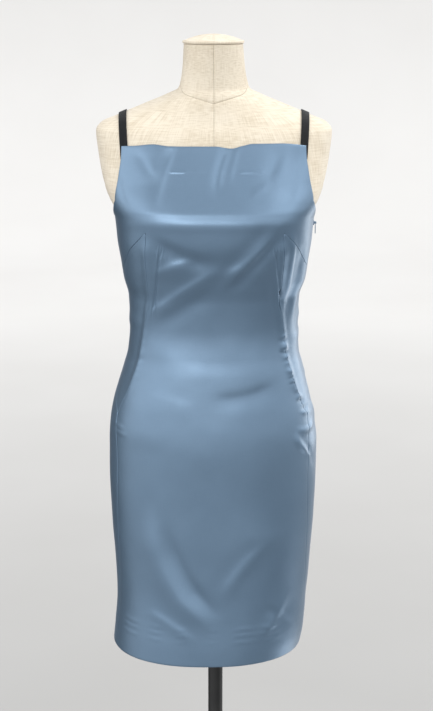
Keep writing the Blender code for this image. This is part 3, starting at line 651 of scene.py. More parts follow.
# %% Front edges
FRONT_COLUMNS = 100
SIDE_COLUMNS = 32
CHEST_ROWS = 30
BUST_ROWS = 32
SKIRT_ROWS = 230


def neckline_z(turn):
    """Height of the wavy top edge, lowered by its own roll."""
    row = form_row(NECKLINE_Z)
    x = surface_point(row, NECKLINE_Z, turn, row["ease"]).x
    return NECKLINE_Z - EDGE_ROLL + smooth_value(NECK_WAVE, x, 1)


def chest_place(across, down):
    """Height and turn from the neckline to the chest line, between the armholes."""
    sideways = 2.0 * across - 1.0
    edge = smooth_value(ARMHOLE, NECKLINE_Z + (CHEST_Z - NECKLINE_Z) * down, 1)
    top = neckline_z(edge * sideways)
    return top + (CHEST_Z - top) * down, edge * sideways


def bust_edges(across):
    """Height and turn on the chest line or underarm, then on the bust seam or apex line."""
    columns = FRONT_COLUMNS + 2 * SIDE_COLUMNS
    from_side = min(across, 1.0 - across) * columns
    side = -1.0 if across < 0.5 else 1.0
    if from_side < SIDE_COLUMNS:
        share = from_side / SIDE_COLUMNS
        turn = 90.0 + (UNDERARM[0][0] - 90.0) * share - inset_turn(UNDERARM_Z) * (1.0 - share)
        foot = 90.0 + (APEX_TURN - 90.0) * share
        foot_z = bust_seam_z(foot) + SEAM_INSET * fade(foot, APEX_TURN, APEX_TURN + 1.5)
        foot -= inset_turn(APEX_Z) * (1.0 - fade(share, 0.0, 0.1) + fade(share, 0.9, 1.0))
        return smooth_value(UNDERARM, turn, 1), side * turn, foot_z, side * foot
    sideways = 2.0 * (across * columns - SIDE_COLUMNS) / FRONT_COLUMNS - 1.0
    return CHEST_Z, UNDERARM[0][0] * sideways, APEX_Z, front_edge_turn(APEX_Z) * sideways


def bust_place(across, down):
    """Height and turn from the chest line to the bust seams and the apex line."""
    top_z, top_turn, foot_z, foot_turn = bust_edges(across)
    return top_z + (foot_z - top_z) * down, top_turn + (foot_turn - top_turn) * down


def skirt_place(across, z):
    """Height and turn from the apex line to the hem."""
    return z, front_edge_turn(z) * (2.0 * across - 1.0)


print("foot of the bust at the side: %.3f m" % bust_edges(0.0)[2])

# %% Front
EASE = 0.008
NEAR_DART, NEAR_FACING = 0.006, 0.004


def near_front_details(middle):
    """Whether a place on the draft is close to a dart or the facing's edge."""
    turn = turn_on_draft(middle)
    if abs(turn) > 75.0:
        return False
    x = surface_point(form_row(middle.z), middle.z, turn, EASE).x
    if abs(middle.z - FACING_Z) < NEAR_FACING and FACING_LEFT - 0.01 < x < FACING_RIGHT + 0.01:
        return True
    lines = [near_line(x, middle.z, (x1, z1), (x2, z2)) for _, x1, z1, x2, z2 in DARTS]
    return any(abs(aside) < NEAR_DART and -0.12 < t < 1.12 for aside, t in lines)


def on_open_top(vertex):
    """Whether a boundary vertex of the draft is on the neckline or an armhole."""
    turn = abs(turn_on_draft(vertex.co))
    return vertex.co.z > UNDERARM_Z - 0.0002 and (turn > 61.0 or vertex.co.z > NECKLINE_Z - 0.01)


def make_front():
    """Draft, refine, dress and edge the front."""
    work = bmesh.new()
    heights = [APEX_Z + (HEM_Z + EDGE_ROLL - APEX_Z) * share for share in shares(SKIRT_ROWS)]
    add_draft(work, shares(FRONT_COLUMNS), shares(CHEST_ROWS), chest_place)
    add_draft(work, shares(FRONT_COLUMNS + 2 * SIDE_COLUMNS), shares(BUST_ROWS), bust_place)
    add_draft(work, shares(FRONT_COLUMNS), heights, skirt_place)
    bmesh.ops.remove_doubles(work, verts=work.verts, dist=0.0001)
    refine_draft(work, near_front_details)
    hem = {v for v in work.verts if v.co.z < heights[-1] + 0.0001}
    top = {v for v in work.verts if v.is_boundary and on_open_top(v)}
    return finish_panel("front_cloth", work, hem, top)


front = make_front()

# %% [markdown]
# ## The side panels
#
# Each side panel is a leaf: it starts as a point at the bust, widens to reach the side seam, and closes to a
# point again at the hip. Its rows follow the bust seam first, so the curved edge stays smooth, and then go
# down evenly. A sign turns the same cut round for the wearer's right.

# %% Side panels
PANEL_TIP_TURN = 43.6
PANEL_FOOT_Z = 0.8905
PANEL_SEAM_ROWS = 26
PANEL_ROWS = 66
PANEL_COLUMNS = 30


def panel_levels():
    """Heights of the panel's rows, with the turn of its outer edge at each."""
    levels = []
    for share in shares(PANEL_SEAM_ROWS):
        turn = PANEL_TIP_TURN + (90.0 - PANEL_TIP_TURN) * share
        z = bust_seam_z(turn) - SEAM_INSET * fade(share, -0.2, 0.1)
        levels.append((z, turn - inset_turn(z) * fade(share, 0.0, 0.1)))
    top = levels[-1][0]
    for share in shares(PANEL_ROWS)[1:]:
        z = top + (PANEL_FOOT_Z - top) * share
        levels.append((z, smooth_value(SIDE_SEAM, z, 1) - inset_turn(z)))
    return levels


def panel_place(sign):
    """Height and turn inside the side panel on one side."""
    def place(across, level):
        z, far = level
        near = min(smooth_value(PRINCESS_SEAM, z, 1) + inset_turn(z), far - 0.2)
        share = across if sign > 0 else 1.0 - across
        return z, sign * (near + (far - near) * share)
    return place


def make_side_panel(name, sign):
    """Draft, dress and edge one side panel."""
    work = bmesh.new()
    add_draft(work, shares(PANEL_COLUMNS), panel_levels(), panel_place(sign))
    return finish_panel(name, work)


side_left = make_side_panel("side_left_cloth", 1)
side_right = make_side_panel("side_right_cloth", -1)

# %% [markdown]
# ## The back
#
# The photo doesn't show the back, so it is finished plainly: one piece with a straight top edge, shaped by
# two long waist darts, with the drag lines that a fitted back has in the hollow of the waist.

# %% Back
BACK_COLUMNS = 124
BACK_ROWS = 220
NEAR_BACK_DART = 0.005


def back_top(turn):
    """Height of the back's top edge, lowered by its own roll."""
    return smooth_value(BACK_EDGE, min(turn - 90.0, 270.0 - turn), 1) - EDGE_ROLL


def back_place(across, down):
    """Height and turn on the back, which goes round from the wearer's left."""
    top = back_top(90.0 + 180.0 * across)
    z = top + (HEM_Z + EDGE_ROLL - top) * down
    seam = smooth_value(SIDE_SEAM, z, 1) + inset_turn(z)
    return z, seam + (360.0 - 2.0 * seam) * across


def near_back_darts(middle):
    """Whether a place on the draft is close to a back dart."""
    lines = [near_line(middle.x, middle.z, start, end) for start, end in back_dart_lines()]
    return any(abs(aside) < NEAR_BACK_DART and -0.05 < t < 1.05 for aside, t in lines)


def make_back():
    """Draft, refine, dress and edge the back."""
    work = bmesh.new()
    add_draft(work, shares(BACK_COLUMNS), shares(BACK_ROWS), back_place)
    hem = {v for v in work.verts if v.co.z < HEM_Z + EDGE_ROLL + 0.0001}
    top = set()
    for vertex in work.verts:
        turn = min(max(turn_on_draft(vertex.co), 90.0), 270.0)
        if vertex.is_boundary and vertex.co.z > back_top(turn) - 0.0012:
            top.add(vertex)
    refine_draft(work, near_back_darts)
    return finish_panel("back_cloth", work, hem, top)


back = make_back()

# %% [markdown]
# ## The straps
#
# Each strap is a narrow band of woven elastic. It comes out from inside the neckline, lies over the shoulder
# and goes down behind the back's top edge. For each step along it, a ray from the middle of the shoulder
# finds the form's surface by halving, and the strap lies just off it. A grid gives the band, and its
# length is measured for the UV map so that the ribs run true.

# %% Straps
STRAP_WIDTH = 0.012
STRAP_THICK = 0.0011
STRAP_OFF_FORM = 0.0014
STRAP_BACK_RISE, STRAP_RISE_FROM = 0.0018, 0.8
STRAP_CENTRE_Y = 0.004
STRAP_CENTRE_Z = 1.250
STRAP_FRONT_ANGLE = 38.0
STRAP_BACK_ANGLE = 195.0
STRAP_X = 0.140
STRAP_SHIFT = -0.002
STRAP_SPREAD = 0.007
STRAP_CLOSE, STRAP_CLOSE_FROM = 0.040, 0.45
STRAP_ROWS = 150
STRAP_COLUMNS = 8
FORM_TOP_Z = 1.480


def inside_form(x, y, z):
    """Whether a point is inside the form."""
    if z >= FORM_TOP_Z:
        return False
    row = form_row(z)
    face = "front" if y < row["middle"] else "back"
    square = row[face + "_square"]
    sideways = abs(x - row["shift"]) / row["half"]
    return sideways**square + (abs(y - row["middle"]) / row[face])**square < 1.0


def strap_point(side, across, along):
    """A point on the strap's outer face."""
    angle = math.radians(STRAP_FRONT_ANGLE + (STRAP_BACK_ANGLE - STRAP_FRONT_ANGLE) * along)
    inward = max(0.0, along - STRAP_CLOSE_FROM) / (1.0 - STRAP_CLOSE_FROM)
    spread = STRAP_SPREAD * math.sin(0.5 * math.pi * min(along / 0.5, 1.0))
    x = side * (STRAP_X + spread - STRAP_CLOSE * inward**1.6 + STRAP_WIDTH * (across - 0.5)) + STRAP_SHIFT
    ray = Vector((0.0, -math.cos(angle), math.sin(angle)))
    centre = Vector((x, STRAP_CENTRE_Y, STRAP_CENTRE_Z))
    near, far = 0.0, 0.2
    for _ in range(30):
        middle = 0.5 * (near + far)
        if inside_form(*(centre + ray * middle)):
            near = middle
        else:
            far = middle
    rise = STRAP_BACK_RISE * max(0.0, along - STRAP_RISE_FROM) / (1.0 - STRAP_RISE_FROM)
    return centre + ray * (near + STRAP_OFF_FORM + STRAP_THICK + rise)


def make_strap(name, side):
    """Lay one band over the shoulder."""
    rails = []
    for share in shares(STRAP_ROWS):
        rails.append([strap_point(side, across, share) for across in (0.0, 0.5, 1.0)])
    lengths = [0.0]
    for before, after in zip(rails, rails[1:]):
        lengths.append(lengths[-1] + (after[1] - before[1]).length)
    work = bmesh.new()
    made = bmesh.ops.create_grid(work, x_segments=STRAP_COLUMNS, y_segments=STRAP_ROWS, size=0.5)["verts"]
    places = {}
    for vertex in made:
        across = vertex.co.x + 0.5 if side > 0 else 0.5 - vertex.co.x
        row = round((vertex.co.y + 0.5) * STRAP_ROWS)
        inner, middle, outer = rails[row]
        places[vertex] = ((across - 0.5) * STRAP_WIDTH, lengths[row])
        across *= 2.0
        vertex.co = inner.lerp(middle, across) if across < 1.0 else middle.lerp(outer, across - 1.0)
    set_cut_uv(work, places.get)
    print("strap length: %.3f m" % lengths[-1])
    return finish_piece(name, work, STRAP_THICK), lengths[-1]


strap_left, strap_length = make_strap("strap_left_band", 1)
strap_right, _ = make_strap("strap_right_band", -1)

# %% [markdown]
# ## The linen torso
#
# The form is a padded body covered in linen, cut in panels. A circle is extruded up through the sections,
# and the seams are pressed in as narrow grooves: down the centre, over the shoulders, round the neck's base
# and round the oval plates at the arms. The grooves are part of one function of turn and height, so the same
# function serves the whole loft and the threads that lie in the seams.

# %% The form's surface
FORM_BOTTOM_Z = 0.735
TORSO_SIDES = 160
TORSO_STEP = 0.0042
LIP_SHARE, LIP_RISE = 0.985, 0.012
PLATE_Y = 0.004
PLATE_Z = 1.297
PLATE_WIDE = 0.048
PLATE_TALL = 0.057
NECK_SEAM = ((0.0, 1.3900), (45.0, 1.4030), (90.0, 1.4165), (135.0, 1.4210), (180.0, 1.4230))
GROOVE, GROOVE_WIDTH = 0.0011, 0.0013
SHOULDER_SEAM = (1.352, 1.412)
PLATE_SUNK, PLATE_RIM, PLATE_GROOVE = 0.0012, 0.0004, 0.0006
PADDING_SCALE, PADDING_HEIGHT = 9.0, 0.0005


def groove(away, depth):
    """Depth of a pressed seam at a distance from its line."""
    return -depth * bell(away, GROOVE_WIDTH)


def from_front(turn):
    """Degrees round from the centre front, the same on both sides."""
    return abs((turn + 180.0) % 360.0 - 180.0)


def torso_relief(point, turn, z):
    """Seams and arm plates of the covered form."""
    relief = 0.0
    radius = max(0.03, math.hypot(point.x, point.y))
    around = from_front(turn)
    for seam in (0.0, 180.0):
        relief += groove(math.radians(around - seam) * radius, GROOVE)
    relief += groove(z - smooth_value(NECK_SEAM, around, 1), GROOVE)
    if SHOULDER_SEAM[0] < z < SHOULDER_SEAM[1]:
        relief += groove(point.y - PLATE_Y, GROOVE * 0.8)
    if z < SHOULDER_SEAM[0]:
        relief += groove(math.radians(around - 90.0) * radius, GROOVE * 0.8)
    oval = math.hypot((point.y - PLATE_Y) / PLATE_WIDE, (z - PLATE_Z) / PLATE_TALL)
    if abs(point.x) > 0.12 and z > 1.20:
        away = (oval - 1.0) * PLATE_WIDE
        relief += PLATE_RIM * bell(away, 0.0022) - PLATE_SUNK * (1.0 - fade(away, -0.004, 0.0))
        relief += groove(away, PLATE_GROOVE)
    return relief


def torso_point(z, turn):
    """A point on the covered form."""
    base = surface_point(form_row(z), z, turn, 0.0)
    wave = noise.noise(base * PADDING_SCALE) * PADDING_HEIGHT
    return base + outward_at(turn) * (torso_relief(base, turn, z) + wave - PADDING_HEIGHT)


print("top of the form's front: %.4f m ahead" % -torso_point(FORM_TOP_Z, 0.0).y)


# %% Torso
def grow_ring(work, ring, places):
    """Extrude a ring of vertices and put the new ring at the given places, in the same order."""
    rim = [work.edges.get((ring[i - 1], ring[i])) for i in range(len(ring))]
    grown = bmesh.ops.extrude_edge_only(work, edges=rim)["geom"]
    fresh = {tuple(item.co): item for item in grown if isinstance(item, bmesh.types.BMVert)}
    following = [fresh[tuple(vertex.co)] for vertex in ring]
    for vertex, place in zip(following, places):
        vertex.co = place
    return following


def level_uv(work, radius):
    """UV map in metres from the turn about the axis and the height."""
    uv = work.loops.layers.uv.new("cut")
    for face in work.faces:
        turns = [math.atan2(loop.vert.co.x, -loop.vert.co.y) for loop in face.loops]
        widest = max(turns)
        for loop, turn in zip(face.loops, turns):
            turn += math.tau if widest - turn > math.pi else 0.0
            loop[uv].uv = (turn * radius, loop.vert.co.z)


def torso_levels():
    """Heights of the loft's rings, closer where the shoulders are nearly level."""
    levels = [FORM_BOTTOM_Z]
    while levels[-1] < FORM_TOP_Z - 0.0005:
        z = levels[-1]
        flat = fade(z, 1.335, 1.350) * (1.0 - fade(z, 1.402, 1.425))
        step = TORSO_STEP * (1.0 - 0.82 * flat)
        levels.append(min(z + step, FORM_TOP_Z))
    return levels


def make_torso():
    """Loft the torso up through its sections."""
    work = bmesh.new()
    turns = [360.0 * i / TORSO_SIDES for i in range(TORSO_SIDES)]
    ring = list(bmesh.ops.create_circle(work, segments=TORSO_SIDES, radius=0.5, cap_ends=False)["verts"])
    levels = torso_levels()
    for vertex, turn in zip(ring, turns):
        vertex.co = torso_point(levels[0], turn)
    foot = ring
    for z in levels[1:]:
        ring = grow_ring(work, ring, [torso_point(z, turn) for turn in turns])
    bmesh.ops.contextual_create(work, geom=ring)
    lip = grow_ring(work, foot, [v.co * LIP_SHARE + Vector((0.0, 0.0, LIP_RISE)) for v in foot])
    bmesh.ops.contextual_create(work, geom=lip)
    bmesh.ops.recalc_face_normals(work, faces=work.faces)
    level_uv(work, BODY_RADIUS)
    return finish_piece("torso_cover", work)


torso = make_torso()

# %% Torso seams
THREAD_SIDES = 6
THREAD_RADIUS = 0.00034
THREAD_FROM_Z = 1.22


def seam_paths():
    """Lines of the form's seams that show above the dress, as heights and turns."""
    rise = FORM_TOP_Z - 0.001 - THREAD_FROM_Z
    middle = [(THREAD_FROM_Z + rise * share, 0.0) for share in shares(90)]
    middle_back = [(z, 180.0) for z, _ in middle]
    around = [360.0 * share for share in shares(150)]
    neck = [(smooth_value(NECK_SEAM, from_front(turn), 1), turn) for turn in around]
    return middle, middle_back, neck


def make_torso_seams():
    """Thread tubes sunk in the seams of the form."""
    work = bmesh.new()
    for path in seam_paths():
        spots = [torso_point(z, turn) for z, turn in path]
        ring = None
        for i, spot in enumerate(spots):
            ahead = (spots[min(i + 1, len(spots) - 1)] - spots[max(i - 1, 0)]).normalized()
            outward = Vector((spot.x, spot.y, 0.0)).normalized()
            side = ahead.cross(outward).normalized()
            outward = side.cross(ahead)
            places = []
            for step in range(THREAD_SIDES):
                angle = math.tau * step / THREAD_SIDES
                places.append(spot + (side * math.cos(angle) + outward * math.sin(angle)) * THREAD_RADIUS)
            if ring is None:
                made = bmesh.ops.create_circle(work, segments=THREAD_SIDES, radius=1.0, cap_ends=True)
                ring = list(made["verts"])
                for vertex, place in zip(ring, places):
                    vertex.co = place
            else:
                ring = grow_ring(work, ring, places)
        bmesh.ops.contextual_create(work, geom=ring)
    bmesh.ops.recalc_face_normals(work, faces=work.faces)
    level_uv(work, BODY_RADIUS)
    return finish_piece("torso_seams", work)


torso_seams = make_torso_seams()

# %% [markdown]
# ## Cap, pole and base
#
# These three are turned. Each is a profile of a few points with arcs at its rounded edges, spun a full turn
# about the upright axis. The neck is closed by a linen cap with a firm rim, the pole is plain tube, and the
# base is a flat disc that rises a little towards the pole.

# %% Turned pieces
CAP_RADIUS = 0.049
CAP_RIM, CAP_RIM_Z = 0.0028, 0.0030
CAP_TOP_RADIUS = 0.0455
CAP_DOME = 0.010
POLE_RADIUS = 0.0125
BASE_RADIUS = 0.195
BASE_THICK = 0.010
BASE_RIM = 0.003
FIT_GAP = 0.0003
SPIN_STEPS = 96
TURNED_SHARP = 50.0
TURNED_UV_RADIUS = 0.05


def arc_points(centre_r, centre_z, radius, start, end, steps):
    """Points along an arc, in degrees from outward towards up."""
    turns = [math.radians(start + (end - start) * i / steps) for i in range(steps + 1)]
    return [(centre_r + radius * math.cos(a), centre_z + radius * math.sin(a)) for a in turns]


def spin_profile(profile, merge_within):
    """Spin a profile of radius and height about the upright axis."""
    work = bmesh.new()
    points = [work.verts.new((radius, 0.0, z)) for radius, z in profile]
    edges = [work.edges.new(pair) for pair in zip(points, points[1:])]
    bmesh.ops.spin(work, geom=points + edges, cent=(0.0, 0.0, 0.0), axis=(0.0, 0.0, 1.0),
                   angle=math.tau, steps=SPIN_STEPS, use_merge=True)
    bmesh.ops.remove_doubles(work, verts=work.verts, dist=merge_within)
    bmesh.ops.recalc_face_normals(work, faces=work.faces)
    return work


def make_turned(name, profile, centre_x=0.0):
    """Make a turned piece whose axis may stand a little to the side."""
    work = spin_profile(profile, 0.00001)
    level_uv(work, TURNED_UV_RADIUS)
    bmesh.ops.translate(work, verts=work.verts, vec=(centre_x, 0.0, 0.0))
    return finish_piece(name, work, sharp_over=TURNED_SHARP)


cap_floor = FORM_TOP_Z + FIT_GAP
rim = arc_points(CAP_RADIUS - CAP_RIM, cap_floor + CAP_RIM_Z, CAP_RIM, -90.0, 90.0, 10)
rim_top = cap_floor + CAP_RIM_Z + CAP_RIM
dome_radius = (CAP_TOP_RADIUS**2 + CAP_DOME**2) / (2.0 * CAP_DOME)
dome_turn = math.degrees(math.asin(CAP_TOP_RADIUS / dome_radius))
dome = arc_points(0.0, rim_top + CAP_DOME - dome_radius - 0.0002, dome_radius, 90.0 - dome_turn, 90.0, 14)
cap = make_turned("neck_cap_cover", [(0.0, cap_floor)] + rim + dome, form_row(FORM_TOP_Z)["shift"])
pole = make_turned("pole_tube", [
    (0.0, BASE_THICK + FIT_GAP), (POLE_RADIUS, BASE_THICK + FIT_GAP),
    (POLE_RADIUS, FORM_BOTTOM_Z - 0.012), (POLE_RADIUS, FORM_BOTTOM_Z - FIT_GAP),
    (0.0, FORM_BOTTOM_Z - FIT_GAP)])
base_edge = arc_points(BASE_RADIUS - BASE_RIM, BASE_RIM, BASE_RIM, -90.0, 90.0, 10)
base_top = [(BASE_RADIUS * share, BASE_THICK - (BASE_THICK - 2.0 * BASE_RIM) * fade(share, 0.75, 1.0))
            for share in (0.97, 0.93, 0.88, 0.83, 0.79, 0.75)]
base = make_turned("round_base", [(0.0, 0.0)] + base_edge + base_top + [(0.0, BASE_THICK)])

# %% [markdown]
# ## The zip
#
# A concealed zip closes the wearer's left side seam: the puckers along that seam in the photo are its mark.
# Only its small slider and the drop-shaped pull tab show at the top. The tape with its coil of teeth lies
# inside. The tab swings on the slider's pin, so it rides on its own body.

# %% Zip tape and coil
ZIP_TOP_Z = 1.203
ZIP_BOTTOM_Z = 0.905
ZIP_TAPE = 0.024
ZIP_TAPE_THICK = 0.0006
ZIP_BEHIND = 0.0033
TAPE_ROW = 0.004
TOOTH_MARGIN = 0.003
TOOTH_DEPTH = 0.0008
TOOTH_PITCH = 0.0016
TOOTH_WIDE = 0.0042
TOOTH_THICK = 0.0009


def zip_point(z, aside, depth):
    """A point inside the side seam, at a distance aside from it and behind the cloth."""
    row = form_row(z)
    turn = smooth_value(SIDE_SEAM, z, 1) + math.degrees(aside / row["half"])
    return surface_point(row, z, turn, row["ease"]) - outward_at(turn) * depth


def make_zip_tape():
    """The tape as a thin sheet."""
    work = bmesh.new()
    rise = ZIP_TOP_Z - ZIP_BOTTOM_Z
    made = bmesh.ops.create_grid(work, x_segments=8, y_segments=round(rise / TAPE_ROW), size=0.5)["verts"]
    set_cut_uv(work, lambda vertex: (vertex.co.x * ZIP_TAPE, vertex.co.y * rise))
    for vertex in made:
        z = ZIP_BOTTOM_Z + rise * (vertex.co.y + 0.5)
        vertex.co = zip_point(z, vertex.co.x * ZIP_TAPE, ZIP_BEHIND)
    return finish_piece("zip_tape_band", work, ZIP_TAPE_THICK)


def make_zip_teeth():
    """The coil: one small rounded bar for each turn, on the tape's inner side."""
    work = bmesh.new()
    count = int((ZIP_TOP_Z - ZIP_BOTTOM_Z - 2.0 * TOOTH_MARGIN) / TOOTH_PITCH)
    for tooth in range(count):
        z = ZIP_BOTTOM_Z + TOOTH_MARGIN + tooth * TOOTH_PITCH
        left, right = (zip_point(z, side * TOOTH_WIDE, ZIP_BEHIND + TOOTH_DEPTH) for side in (-0.5, 0.5))
        along = (right - left).normalized()
        place = Matrix.Translation(0.5 * (left + right)) @ along.to_track_quat("X", "Z").to_matrix().to_4x4()
        size = Matrix.Diagonal((TOOTH_WIDE, TOOTH_THICK, TOOTH_THICK, 1.0))
        bmesh.ops.create_cube(work, size=1.0, matrix=place @ size)
    return finish_piece("zip_coil", work)


tape = make_zip_tape()
teeth = make_zip_teeth()

# %% Slider and pull tab
slider_low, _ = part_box("zip_slider")
tab_low, tab_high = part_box("zip_tab")
hinge = next(joint for joint in frame["record"]["behaviour"]["joints"] if joint["name"] == "tab_hinge")
pin = Vector(hinge["pos_m"])
SLIDER_DEEP = 0.0020
SLIDER_WIDE = 0.0056
SLIDER_TALL = 0.0080
EAR_THICK = 0.0010
EAR_REACH = 0.0016
PIN_RADIUS = 0.0006
METAL_SHARP = 40.0
TAB_LONG = 0.018
TAB_WIDE = 0.0052
TAB_THICK = 0.0010
TAB_RIM, TAB_PRESSED = 0.0006, 0.0002
EYE_WIDE = 0.0030
EYE_INNER, EYE_OUTER = 0.0009, 0.0014
TAB_NECK = ((0.0011, -0.0009), (0.0013, -0.0034), (0.43 * TAB_WIDE, -0.0056), (0.5 * TAB_WIDE, -0.0078))


def round_edges(work, edges, roundness, segments):
    """Bevel edges of a small metal part."""
    bmesh.ops.bevel(work, geom=edges, offset=roundness, offset_type="OFFSET", affect="EDGES",
                    segments=segments, profile=0.5, material=-1)


def add_box(work, low, high, roundness):
    """Add a box with rounded edges to a mesh."""
    size = [high[i] - low[i] for i in range(3)]
    middle = [0.5 * (low[i] + high[i]) for i in range(3)]
    place = Matrix.Translation(middle) @ Matrix.Diagonal((*size, 1.0))
    made = bmesh.ops.create_cube(work, size=1.0, matrix=place)["verts"]
    round_edges(work, list({edge for vertex in made for edge in vertex.link_edges}), roundness, 3)


def add_rod(work, radius, low, high):
    """Add a rod along Y between two points."""
    place = Matrix.Translation(0.5 * (low + high)) @ Matrix.Rotation(math.radians(90.0), 4, "X")
    bmesh.ops.create_cone(work, cap_ends=True, segments=24, radius1=radius, radius2=radius,
                          depth=(high - low).length, matrix=place)


def make_slider():
    """The slider's body, its two ears and the pin between them."""
    work = bmesh.new()
    back_x = slider_low[0]
    front_x = back_x + SLIDER_DEEP
    half_y, half_z = 0.5 * SLIDER_WIDE, 0.5 * SLIDER_TALL
    add_box(work, (back_x, pin.y - half_y, pin.z - half_z), (front_x, pin.y + half_y, pin.z + half_z), 0.0007)
    for side in (-1, 1):
        inner, outer = sorted((side * half_y, side * (half_y - EAR_THICK)))
        add_box(work, (front_x - 0.0006, pin.y + inner, pin.z - EAR_REACH),
                (pin.x + EAR_REACH, pin.y + outer, pin.z + EAR_REACH), 0.00035)
    along = Vector((0.0, half_y - 0.5 * EAR_THICK, 0.0))
    add_rod(work, PIN_RADIUS, pin - along, pin + along)
    return finish_piece("slider_body", work, sharp_over=METAL_SHARP)


def make_tab():
    """The drop-shaped tab, with a pressed rim and an open eye round the pin."""
    work = bmesh.new()
    half = 0.5 * TAB_WIDE
    outline = [(-y, z) for y, z in TAB_NECK]
    outline += arc_points(0.0, -TAB_LONG + half, half, 180.0, 360.0, 14)
    outline += reversed(TAB_NECK)
    rim = [work.verts.new((-0.5 * TAB_THICK, y, z)) for y, z in outline]
    plate = work.faces.new(rim)
    grown = bmesh.ops.extrude_face_region(work, geom=[plate])["geom"]
    moved = [item for item in grown if isinstance(item, bmesh.types.BMVert)]
    bmesh.ops.translate(work, verts=moved, vec=(TAB_THICK, 0.0, 0.0))
    bmesh.ops.recalc_face_normals(work, faces=work.faces)
    flats = [face for face in work.faces if len(face.verts) > 8]
    bmesh.ops.inset_individual(work, faces=flats, thickness=TAB_RIM, depth=0.0)
    bmesh.ops.inset_individual(work, faces=flats, thickness=TAB_PRESSED, depth=-TAB_PRESSED)
    round_edges(work, [edge for edge in work.edges if edge.calc_face_angle(0.0) > 1.2], 0.00018, 2)
    eye = [work.verts.new((radius, 0.5 * width, 0.0)) for radius, width in (
        (EYE_INNER, -EYE_WIDE), (0.0012, -EYE_WIDE), (EYE_OUTER, -EYE_WIDE + 0.0004),
        (EYE_OUTER, EYE_WIDE - 0.0004), (0.0012, EYE_WIDE), (EYE_INNER, EYE_WIDE))]
    loop = [work.edges.new((eye[i - 1], eye[i])) for i in range(len(eye))]
    bmesh.ops.spin(work, geom=eye + loop, cent=(0.0, 0.0, 0.0), axis=(0.0, 1.0, 0.0),
                   angle=math.tau, steps=28, use_merge=True)
    bmesh.ops.recalc_face_normals(work, faces=work.faces)
    bmesh.ops.translate(work, verts=work.verts, vec=pin)
    return finish_piece("tab_blade", work, sharp_over=METAL_SHARP)


slider = make_slider()
tab = make_tab()
print("tab reaches from %.4f to %.4f m" % (tab_low[2], tab_high[2]))

# %% [markdown]
# ## A shared effect: threads
#
# Satin, linen, elastic and zip tape are all woven, so they share one node group. It reads a UV map in
# metres, draws the warp and the weft as two crossing waves, and adds slubs: slow noise stretched along each
# thread.
# The group only gives numbers that vary over the surface. Each material mixes them into its own colour and
# bump, so that a dense satin and a rough linen come from the same group.

# %% Thread group
def add_node(tree, kind, **values):
    """Add a node and set its plain properties."""
    node = tree.nodes.new(kind)
    for name, value in values.items():
        setattr(node, name, value)
    return node


def math_node(tree, operation, first, second=None):
    """A Math node whose inputs are sockets or numbers."""
    node = add_node(tree, "ShaderNodeMath", operation=operation)
    for socket, value in zip(node.inputs, (first, second)):
        if isinstance(value, (int, float)):
            socket.default_value = value
        elif value is not None:
            tree.links.new(value, socket)
    return node.outputs[0]


def make_thread_group():
    """Threads: warp, weft and slubs from a UV map in metres."""
    group = bpy.data.node_groups.new("Threads", "ShaderNodeTree")
    face = group.interface
    face.new_socket(name="Cut", in_out="INPUT", socket_type="NodeSocketVector")
    for name, value in (("Warp per metre", 1400.0), ("Weft per metre", 1400.0), ("Slub per metre", 120.0)):
        face.new_socket(name=name, in_out="INPUT", socket_type="NodeSocketFloat").default_value = value
    for name in ("Height", "Slub"):
        face.new_socket(name=name, in_out="OUTPUT", socket_type="NodeSocketFloat")
    start = add_node(group, "NodeGroupInput")
    end = add_node(group, "NodeGroupOutput")
    parts = add_node(group, "ShaderNodeSeparateXYZ")
    group.links.new(start.outputs["Cut"], parts.inputs[0])
    waves = []
    for axis, count in ((0, "Warp per metre"), (1, "Weft per metre")):
        turns = math_node(group, "MULTIPLY", parts.outputs[axis], start.outputs[count])
        waves.append(math_node(group, "SINE", math_node(group, "MULTIPLY", turns, math.tau)))
    cross = math_node(group, "MULTIPLY", waves[0], waves[1])
    slubs = []
    for stretch in ((1.0, 0.06), (0.06, 1.0)):
        joined = add_node(group, "ShaderNodeCombineXYZ")
        for axis in (0, 1):
            scaled = math_node(group, "MULTIPLY", parts.outputs[axis], start.outputs["Slub per metre"])
            group.links.new(math_node(group, "MULTIPLY", scaled, stretch[axis]), joined.inputs[axis])
        cloud = add_node(group, "ShaderNodeTexNoise", noise_dimensions="3D")
        cloud.inputs["Scale"].default_value = 1.0
        cloud.inputs["Detail"].default_value = 3.0
        group.links.new(joined.outputs[0], cloud.inputs["Vector"])
        slubs.append(cloud.outputs["Fac"])
    slub = math_node(group, "MULTIPLY", math_node(group, "ADD", slubs[0], slubs[1]), 0.5)
    raised = math_node(group, "ADD", math_node(group, "MULTIPLY", cross, 0.35), slub)
    group.links.new(raised, end.inputs["Height"])
    group.links.new(slub, end.inputs["Slub"])
    return group


threads = make_thread_group()
print("group outputs:", [item.name for item in threads.interface.items_tree if item.in_out == "OUTPUT"])

# %% [markdown]
# ## The finishes
#
# Every finish starts from the same few nodes: a Principled shader, a colour ramp that varies the base
# colour, a range that varies the roughness, and a bump. Values that are the same all over, such as sheen or
# anisotropy, are set on the shader's own sockets.

# %% Material helpers
def start_material(name, **sockets):
    """A material with its Principled shader's plain sockets set."""
    material = bpy.data.materials.new(name)
    material.use_nodes = True
    shader = material.node_tree.nodes["Principled BSDF"]
    for socket, value in sockets.items():
        shader.inputs[socket.replace("_", " ")].default_value = value
    return material, material.node_tree, shader


